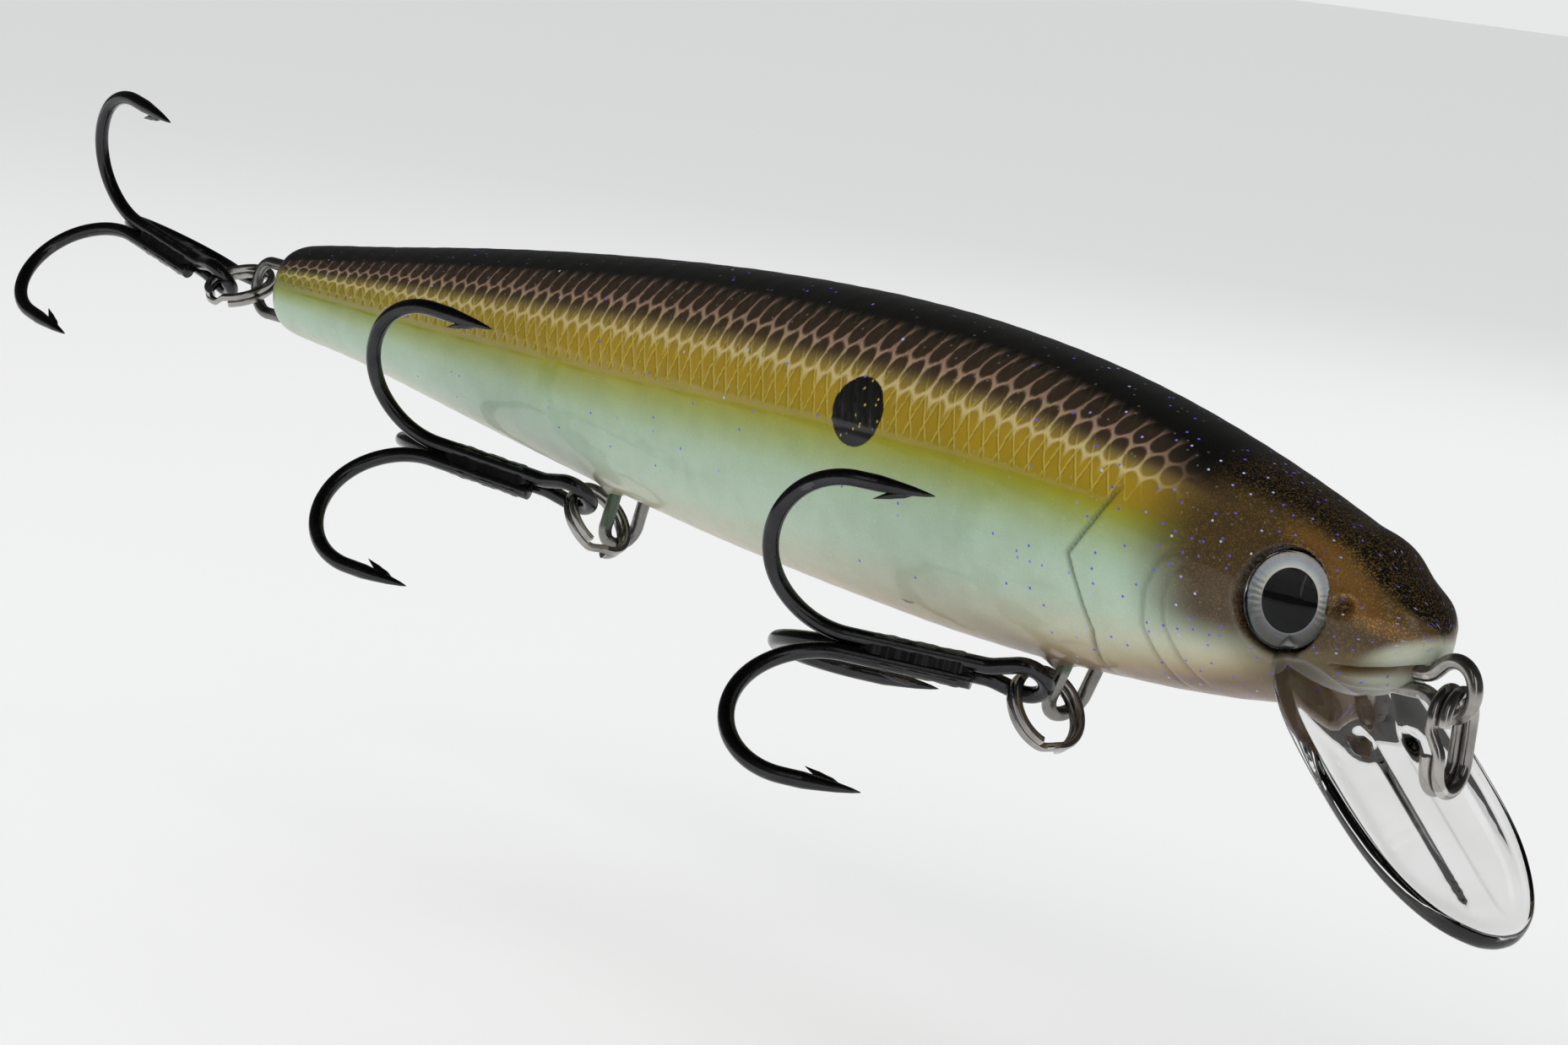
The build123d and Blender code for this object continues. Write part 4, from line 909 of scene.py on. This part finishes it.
# line tie: outer loop, waist between the jaws, inner eye
def line_tie():
    c, q = np.array([1.24, 0, -4.93]), np.array([-12.6, 0, -5.6])
    r0, sep = 1.52, 0.50
    dist = np.linalg.norm(q - c)
    u = (q - c) / dist
    v = np.array([-u[2], 0, u[0]])
    if v[2] < 0:
        v = -v
    g, Rr = math.radians(40), 1.6
    lc = (r0 * math.cos(g) - sep - Rr * (1 - math.cos(g))) / math.sin(g)
    s1 = r0 * math.sin(g)
    s2 = s1 + lc * math.cos(g)
    s3 = s2 + Rr * math.sin(g)

    def P(s, t):
        return c + u * s + v * t

    half = [P(r0 * math.sin(a), r0 * math.cos(a)) for a in np.linspace(-math.pi / 2, g, 40)]
    half += [P(s1 + (s2 - s1) * k, r0 * math.cos(g) + (sep + Rr * (1 - math.cos(g)) - r0 * math.cos(g)) * k) for k in (0.33, 0.66, 1.0)]
    half += [P(s3 - Rr * math.sin(a), sep + Rr * (1 - math.cos(a))) for a in np.linspace(g, 0, 12)[1:]]
    g2, R2, Rr2 = math.radians(35), 1.15, 1.6
    lc2 = (R2 * math.cos(g2) - sep - Rr2 * (1 - math.cos(g2))) / math.sin(g2)
    d1 = dist - R2 * math.sin(g2)
    d2 = d1 - lc2 * math.cos(g2)
    d3 = d2 - Rr2 * math.sin(g2)
    half += [P(s3 + (d3 - s3) * k, sep) for k in np.linspace(0, 1, 12)[1:]]
    half += [P(d3 + Rr2 * math.sin(a), sep + Rr2 * (1 - math.cos(a))) for a in np.linspace(0, g2, 10)[1:]]
    half += [P(d2 + (d1 - d2) * k, sep + Rr2 * (1 - math.cos(g2)) + (R2 * math.cos(g2) - sep - Rr2 * (1 - math.cos(g2))) * k) for k in (0.5, 1.0)]
    half += [P(dist - R2 * math.sin(a), R2 * math.cos(a)) for a in np.linspace(g2, -math.pi / 2, 30)[1:]]
    half = np.array(half)
    other = []
    for p in half[1:-1][::-1]:
        d = p - c
        other.append(c + u * d.dot(u) - v * d.dot(v))
    return resample(np.vstack([half, other]), 0.12, closed=True)


V, F = tube(line_tie(), 0.45, 28, closed=True, first=[0, 1, 0])
add_mesh("line_tie_loop", V, F, "lure_body", MAT_TIE, ("line_tie_wire",))


def hanger_path(c, L, H, r, leg):
    c, L, H = map(np.asarray, (c, L, H))
    c2 = c - L * leg
    a = [c + H * (r * math.cos(t)) + L * (r * math.sin(t)) for t in np.linspace(0, math.pi, 40)]
    b = [c2 + H * (r * math.cos(t)) + L * (r * math.sin(t)) for t in np.linspace(math.pi, 2 * math.pi, 40)]
    return resample(np.array(a + b), 0.15, closed=True)


def belly_axes(lean, turn):
    t, p = math.radians(lean), math.radians(turn)
    L = np.array([-math.sin(t), 0, -math.cos(t)])
    H = np.array([math.sin(p), math.cos(p), 0])
    n = np.cross(H, L)
    return unit(np.cross(n, H)), H


for nm, node, (x, z, r, lean, turn) in (("front_belly_hanger_wire", "front_belly_hanger", (-29.40, -11.86, 1.40, 22.8, -3.0)),
                                        ("rear_belly_hanger_wire", "rear_belly_hanger", (-75.72, -10.21, 1.365, 14.0, -3.3))):
    L, H = belly_axes(lean, turn)
    V, F = tube(hanger_path([x, 0, z], L, H, r, 5.6), 0.45, 24, closed=True)
    add_mesh(nm, V, F, "lure_body", MAT_HANGER, (node,))
V, F = tube(hanger_path([-123.29, 0, -0.84], [-1, 0, 0], [0, 0, 1], 1.90, 7.4), 0.45, 24, closed=True, first=[0, 1, 0])
add_mesh("tail_hanger_wire", V, F, "lure_body", MAT_HANGER, ("tail_hanger",))


# oval ring on the line tie
def oval_ring():
    top_in = np.array([1.24 + 0.18, 0, -4.93 - 0.05])
    yaw = math.radians(16)
    n = np.array([math.cos(yaw), math.sin(yaw), 0.0])
    w = np.array([-math.sin(yaw), math.cos(yaw), 0.0])
    d = np.array([0, 0, -1.0])
    R, L, half = 1.62, 5.65 - 2 * 1.62, 0.38
    ct = top_in + d * R

    def P(side, s, lane):
        return ct + w * (side * R) + d * s + n * (lane * half)

    def arc_top(lane):
        return np.array([ct + n * (lane * half) + w * (R * math.cos(t)) - d * (R * math.sin(t)) for t in np.linspace(0, math.pi, 30)])

    def arc_bot(lane):
        cb = ct + d * L
        return np.array([cb + n * (lane * half) - w * (R * math.cos(t)) + d * (R * math.sin(t)) for t in np.linspace(0, math.pi, 30)])

    cr = []
    for k in np.linspace(0, 1, 16):
        lane = -1 + 2 * (3 * k * k - 2 * k ** 3)
        cr.append(P(-1, (0.12 + 0.76 * k) * L, lane))
    path = chain([P(-1, 0.80 * L, -1), P(-1, L, -1)], arc_bot(-1), [P(1, L, -1), P(1, 0, -1)], arc_top(-1),
                 [P(-1, 0, -1), P(-1, 0.12 * L, -1)], np.array(cr), [P(-1, 0.88 * L, 1), P(-1, L, 1)], arc_bot(1),
                 [P(1, L, 1), P(1, 0, 1)], arc_top(1), [P(-1, 0, 1), P(-1, 0.10 * L, 1)])
    return resample(path, 0.13)


V, F = tube(oval_ring(), 0.36, 24, caps="flat")
add_mesh("oval_line_ring", V, F, "line_ring", MAT_OVAL, ("line_oval_ring",))

# ------------------------------------------------------------------ split rings and trebles
SETS = {
    "front": dict(ring_c=(-28.72, -2.21, -12.61), ring_n=(0.837, 0.035, 0.545), hang=(-29.36, 0.0, -11.78), eye=(-29.73, -3.73, -10.97),
                  a=(-0.791, -0.610, 0.052), w=(0.442, -0.510, 0.738), slip=0.332),
    "middle": dict(ring_c=(-75.210, -2.446, -9.810), ring_n=(0.7501, 0.2187, 0.6239), hang=(-75.62, 0.0, -10.20), eye=(-76.066, -4.045, -8.235),
                   a=(-0.9065, -0.4047, 0.1191), w=(0.3789, -0.6545, 0.6548), slip=-0.024),
    "tail": dict(ring_c=(-125.72, -1.13, -1.06), ring_n=(0.131, -0.420, 0.898), hang=(-123.56, 0.0, -0.84), eye=(-128.14, -1.49, -0.87),
                 a=(-0.972, -0.093, 0.215), w=(0.220, -0.679, 0.700), slip=-0.066)}


def split_ring(sp):
    c, n = np.array(sp["ring_c"]), unit(sp["ring_n"])
    # x axis as in the solid model: any vector square to n; only relative angles matter
    ux = unit(np.cross([0.0, 0.0, 1.0], n) if abs(n[2]) < 0.95 else np.cross([1.0, 0, 0], n))
    uy = np.cross(n, ux)
    r = 2.45
    ang = []
    for k in ("hang", "eye"):
        d = np.array(sp[k]) - c
        ang.append(math.degrees(math.atan2(d @ uy, d @ ux)) % 360)
    lo, hi = min(ang), max(ang)
    mid = (lo + hi) / 2 if (hi - lo) > 180 else ((lo + hi) / 2 + 180) % 360
    j, gap = 13.0, 5.0
    P = []
    for a in np.arange(j + gap, 720 - j - gap + 0.1, 3.0):
        if a < 360 - j:
            z = -0.5
        elif a > 360 + j:
            z = 0.5
        else:
            t = (a - 360 + j) / (2 * j)
            z = -0.5 + (3 * t * t - 2 * t ** 3)
        t = math.radians(mid + a)
        P.append((c + ux * (r * math.cos(t)) + uy * (r * math.sin(t)) + n * (z * 0.53), ux * math.cos(t) + uy * math.sin(t)))
    # rounded-square wire
    h, rc, prof = 0.25, 0.14, []
    for (sx_, sy_, a0) in ((1, 1, 0), (-1, 1, 90), (-1, -1, 180), (1, -1, 270)):
        for k in range(4):
            t = math.radians(a0 + 30 * k)
            prof.append((sx_ * (h - rc) + rc * math.cos(t), sy_ * (h - rc) + rc * math.sin(t)))
    m = len(prof)
    V, F = [], []
    for p, e in P:
        for (a, b) in prof:
            V.append(p + e * a + n * b)
    for i in range(len(P) - 1):
        for k in range(m):
            l = (k + 1) % m
            F.append((i * m + k, i * m + l, (i + 1) * m + l, (i + 1) * m + k))
    F.append(tuple(range(m))[::-1])
    o = (len(P) - 1) * m
    F.append(tuple(o + k for k in range(m)))
    return np.array(V), [f[::-1] for f in F]


R0, SHANK, BEND, POINT, TAPER = 0.64, 11.34, ((5.74, 50.3), (4.74, 129.7)), 4.82, 3.5
WIRE = 1.03
ER, ET, NECK = 1.32, math.radians(22.0), 2.0


def arm(E, a, rd, s0):
    pts = [(s, R0) for s in np.linspace(s0, SHANK, 24)]
    s, r, ang = SHANK, R0, 0.0
    for R, sw in BEND:
        A = math.radians(sw)
        cs, cr = s - R * math.sin(ang), r + R * math.cos(ang)
        for q in np.linspace(ang, ang + A, 40)[1:]:
            pts.append((cs + R * math.sin(q), cr - R * math.cos(q)))
        ang += A
        s, r = cs + R * math.sin(ang), cr - R * math.cos(ang)
    for q in np.linspace(0, POINT, 40)[1:]:
        inw = 0.06 * sstep(POINT - TAPER, POINT, q)
        pts.append((s + q * math.cos(ang), r + q * math.sin(ang) - inw))
    pts = np.array(pts)
    d = np.concatenate([[0], np.cumsum(np.hypot(*np.diff(pts, axis=0).T))])
    left = d[-1] - d
    rad = np.interp(left, [0, 0.10, 0.5, 1.4, 2.4, TAPER, 99], [0.022, 0.055, 0.15, 0.30, 0.405, WIRE / 2, WIRE / 2])
    return E + pts[:, :1] * a + pts[:, 1:] * rd, rad, (s, r, ang)


def barb(E, a, rd, side_dir):
    """Sliver lifted from the inner side of the point, thick at its root and sharp at its free end."""
    s, r, ang = SHANK, R0, 0.0
    for R, sw in BEND:
        A = math.radians(sw)
        cs, cr = s - R * math.sin(ang), r + R * math.cos(ang)
        ang += A
        s, r = cs + R * math.sin(ang), cr - R * math.cos(ang)
    t = a * math.cos(ang) + rd * math.sin(ang)
    base = E + a * s + rd * r + t * (POINT - TAPER)
    inn = -rd
    P = [base + t * 2.25 + inn * 0.16, base + t * 1.7 + inn * 0.30, base + t * 1.05 + inn * 0.50, base + t * 0.40 + inn * 0.76,
         base - t * 0.20 + inn * 1.02]
    P = resample(np.array(P), 0.12)
    k = np.linspace(0, 1, len(P))
    rad = np.interp(k, [0, 0.25, 0.6, 1.0], [0.10, 0.24, 0.20, 0.018])
    return tube(P, rad, 14, caps="round", first=side_dir, squash=np.full(len(P), 1.15))


def treble(key, sp):
    a = unit(sp["a"])
    w = np.array(sp["w"], float)
    w = unit(w - a * w.dot(a))
    rB = -np.cross(a, w)
    h = math.sqrt(3) / 2
    rA, rC = rB * -0.5 + w * h, rB * -0.5 - w * h
    ec = np.array(sp["eye"]) - a * sp["slip"]
    E = ec - (rA + rC) * (R0 / 2) - a * 0.4
    half = R0 * h
    lc = (ER * math.cos(ET) - half - NECK * (1 - math.cos(ET))) / math.sin(ET)
    s1, v1 = ER * math.sin(ET), ER * math.cos(ET)
    s2, v2 = s1 + lc * math.cos(ET), half + NECK * (1 - math.cos(ET))
    s3 = s2 + NECK * math.sin(ET)

    def Q(s, v):
        return ec + a * s + w * v

    def neck(sg):
        o = [Q(s1 + (s2 - s1) * k, sg * (v1 + (v2 - v1) * k)) for k in np.linspace(0, 1, 10)]
        o += [Q(s3 - NECK * math.sin(g), sg * (half + NECK * (1 - math.cos(g)))) for g in np.linspace(ET, 0, 8)[1:]]
        return np.array(o)

    st = 0.4 + s3
    A, ra, _ = arm(E, a, rA, st)
    C, rc_, _ = arm(E, a, rC, st)
    th = np.linspace(-(math.pi / 2 - ET), -(2 * math.pi - (math.pi / 2 - ET)), 50)
    eye_arc = np.array([ec + a * (ER * math.cos(t)) + w * (ER * math.sin(t)) for t in th])
    nk = neck(-1)[::-1]
    nk2 = neck(1)
    path = np.vstack([C[::-1], nk[1:], eye_arc[1:], nk2[1:], A[1:]])
    rad = np.concatenate([rc_[::-1], np.full(len(nk) - 1 + len(eye_arc) - 1 + len(nk2) - 1, WIRE / 2), ra[1:]])
    dbl = [tube(path, rad, 24, caps="round"), barb(E, a, rA, np.cross(a, rA)), barb(E, a, rC, np.cross(a, rC))]
    V, F = join(dbl)
    add_mesh(key + "_double_hook_wire", V, F, key + "_treble", MAT_HOOK, (key + "_double_hook",), sharp=60)
    B, rb, _ = arm(E, a, rB, st + 0.5)
    V, F = join([tube(B, rb, 24, caps="flat"), barb(E, a, rB, np.cross(a, rB))])
    add_mesh(key + "_single_hook_wire", V, F, key + "_treble", MAT_HOOK, (key + "_single_hook",), sharp=60)
    # braze: three concave webs between the shanks
    b0, b1 = st + 0.55, SHANK - 0.9
    V, F = [], []
    nb = []
    seq = ((rA, rB), (rB, rC), (rC, rA))
    e1 = unit(rA + rB)
    e2 = np.cross(a, e1)
    angs = sorted(math.degrees(math.atan2(unit(p + q) @ e2, unit(p + q) @ e1)) % 360 for p, q in seq)
    prof = []
    for g0 in angs:
        for k in np.linspace(-46, 46, 11):
            rr = (0.765 + 0.03 * (abs(k) / 46) ** 2) / math.cos(math.radians(k))
            prof.append((g0 + k, rr))
    m = len(prof)
    ss_ = np.linspace(b0, b1, 60)
    for i, s in enumerate(ss_):
        t = min(s - b0, b1 - s)
        e = 0.62 + 0.38 * float(sstep(0, 0.7, t))
        wv = 1 + 0.018 * math.sin(s * 3.1) + 0.012 * math.sin(s * 7.3 + 1)
        for g, rr in prof:
            q = math.radians(g)
            V.append(E + a * s + (e1 * math.cos(q) + e2 * math.sin(q)) * (rr * e * wv))
    for i in range(len(ss_) - 1):
        for k in range(m):
            l = (k + 1) % m
            F.append((i * m + k, i * m + l, (i + 1) * m + l, (i + 1) * m + k))
    F.append(tuple(range(m))[::-1])
    F.append(tuple((len(ss_) - 1) * m + k for k in range(m)))
    add_mesh(key + "_braze_webs", np.array(V), F, key + "_treble", MAT_BRAZE, (key + "_hook_braze",), sharp=50)


for key, sp in SETS.items():
    V, F = split_ring(sp)
    add_mesh(key + "_split_ring_coil", V, F, key + "_ring", MAT_RING, (key + "_split_ring",), sharp=50)
    treble(key, sp)

# sealed ballast keeps its CAD shape
for node, mat in (("keel_weight_front", MAT_WEIGHT), ("keel_weight_middle", MAT_WEIGHT), ("casting_weight_balls", MAT_BALL)):
    ob = frame["nodes"][node]
    for s in ob.material_slots:
        s.material = mat

# normals of every new mesh face outwards
for ob in list(bpy.context.scene.objects):
    if ob.type == "MESH" and ob.name not in frame["nodes"] and ob.data.materials and ob.name not in ("right_body_half", "left_body_half"):
        bm_ = bmesh.new()
        bm_.from_mesh(ob.data)
        bmesh.ops.recalc_face_normals(bm_, faces=bm_.faces)
        bm_.to_mesh(ob.data)
        bm_.free()

# ------------------------------------------------------------------ floor, light, camera
lo, hi = [np.array(v) for v in (CAD_BOX[0], CAD_BOX[1])] if len(CAD_BOX) == 2 else (np.array([-0.15, -0.02, -0.02]), np.array([0.01, 0.02, 0.02]))
zf = float(lo[2]) - 0.021      # clear of the trebles when they hang straight down


def stage_plane(name, verts, faces, mat):
    me = bpy.data.meshes.new(name)
    me.from_pydata(verts, [], faces)
    ob = bpy.data.objects.new(name, me)
    bpy.context.scene.collection.objects.link(ob)
    me.materials.append(mat)
    return ob


fm_ = Nodes("pale_floor")
fm_.set(Base_Color=(0.90, 0.90, 0.90), Roughness=0.75)
fm_.b.inputs["Specular IOR Level"].default_value = 0.15
S_ = 12.0
floor_ob = stage_plane("floor", [(-S_, -S_, zf), (S_, -S_, zf), (S_, S_, zf), (-S_, S_, zf)], [(0, 1, 2, 3)], fm_.mat)

world = bpy.data.worlds.new("studio")
bpy.context.scene.world = world
world.use_nodes = True
wt = world.node_tree
bg = wt.nodes["Background"]
tc = wt.nodes.new("ShaderNodeTexCoord")
sepx = wt.nodes.new("ShaderNodeSeparateXYZ")
ramp = wt.nodes.new("ShaderNodeValToRGB")
wt.links.new(tc.outputs["Generated"], sepx.inputs[0])
wt.links.new(sepx.outputs["Z"], ramp.inputs[0])
ramp.color_ramp.elements[0].position, ramp.color_ramp.elements[0].color = 0.0, (0.10, 0.10, 0.10, 1)
ramp.color_ramp.elements[1].position, ramp.color_ramp.elements[1].color = 1.0, (0.012, 0.012, 0.012, 1)
e_ = ramp.color_ramp.elements.new(0.35)
e_.color = (0.07, 0.07, 0.07, 1)
lp_ = wt.nodes.new("ShaderNodeLightPath")
mx_ = wt.nodes.new("ShaderNodeMix")
mx_.data_type = "RGBA"
mm_ = wt.nodes.new("ShaderNodeMath")
mm_.operation = "MAXIMUM"
wt.links.new(lp_.outputs["Is Glossy Ray"], mm_.inputs[0])
wt.links.new(lp_.outputs["Is Transmission Ray"], mm_.inputs[1])
wt.links.new(mm_.outputs[0], mx_.inputs[0])
mx_.inputs[6].default_value = (0.93, 0.935, 0.94, 1)
wt.links.new(ramp.outputs[0], mx_.inputs[7])
wt.links.new(mx_.outputs[2], bg.inputs["Color"])
bg.inputs["Strength"].default_value = 0.86


def area(name, loc, target, size, power, size_y=None, seen=True):
    ld = bpy.data.lights.new(name, "AREA")
    ld.energy = power
    ld.size = size
    if size_y:
        ld.shape = "RECTANGLE"
        ld.size_y = size_y
    ob = bpy.data.objects.new(name, ld)
    bpy.context.scene.collection.objects.link(ob)
    ob.location = loc
    ob.visible_glossy = ob.visible_transmission = seen
    ob.rotation_euler = (Vector(target) - Vector(loc)).to_track_quat("-Z", "Y").to_euler()
    return ob


mid = (-0.06, 0, 0.0)
area("key_soft", (-0.10, -0.50, 0.42), mid, 0.30, 0.75, seen=False)
area("strip", (0.16, -0.42, 0.30), mid, 0.035, 0.05, 0.34)
area("fill_front", (0.50, -0.30, 0.22), mid, 0.16, 0.30, 0.50)
area("rim_back", (-0.35, 0.45, 0.35), mid, 0.30, 0.35, seen=False)
area("top_soft", (-0.06, -0.15, 0.70), mid, 0.40, 0.42, seen=False)

# camera at the reference view
az, el, ro = np.radians([51.18149, 7.51653, 7.47355])
f_px, D_, cu, cv = 5422.476860, 295.974998, 926.646882, 491.819333
b_ = np.array([np.sin(az) * np.cos(el), -np.cos(az) * np.cos(el), np.sin(el)])
fwd = -b_
rgt = np.cross(fwd, [0, 0, 1]); rgt /= np.linalg.norm(rgt)
upv = np.cross(rgt, fwd)
r2 = np.cos(ro) * rgt + np.sin(ro) * upv
u2 = -np.sin(ro) * rgt + np.cos(ro) * upv
Rm = np.array([r2, -u2, fwd])
tv = np.array([(cu - 928.5) / f_px * D_, (cv - 619.0) / f_px * D_, D_]) - Rm @ np.array([-60.0, 0, 0])
cam_mm = -Rm.T @ tv
cd = bpy.data.cameras.new("camera")
cd.sensor_fit = "HORIZONTAL"
cd.sensor_width = 36.0
cd.lens = f_px * 36.0 / 1857.0
cd.clip_start, cd.clip_end = 0.01, 20.0
cam = bpy.data.objects.new("camera", cd)
bpy.context.scene.collection.objects.link(cam)
M = Matrix.Identity(4)
for i in range(3):
    M[i][0], M[i][1], M[i][2] = r2[i], u2[i], -fwd[i]
    M[i][3] = float(row(cam_mm)[i])
cam.matrix_world = M
bpy.context.scene.camera = cam
bpy.context.scene.view_settings.view_transform = "Standard"
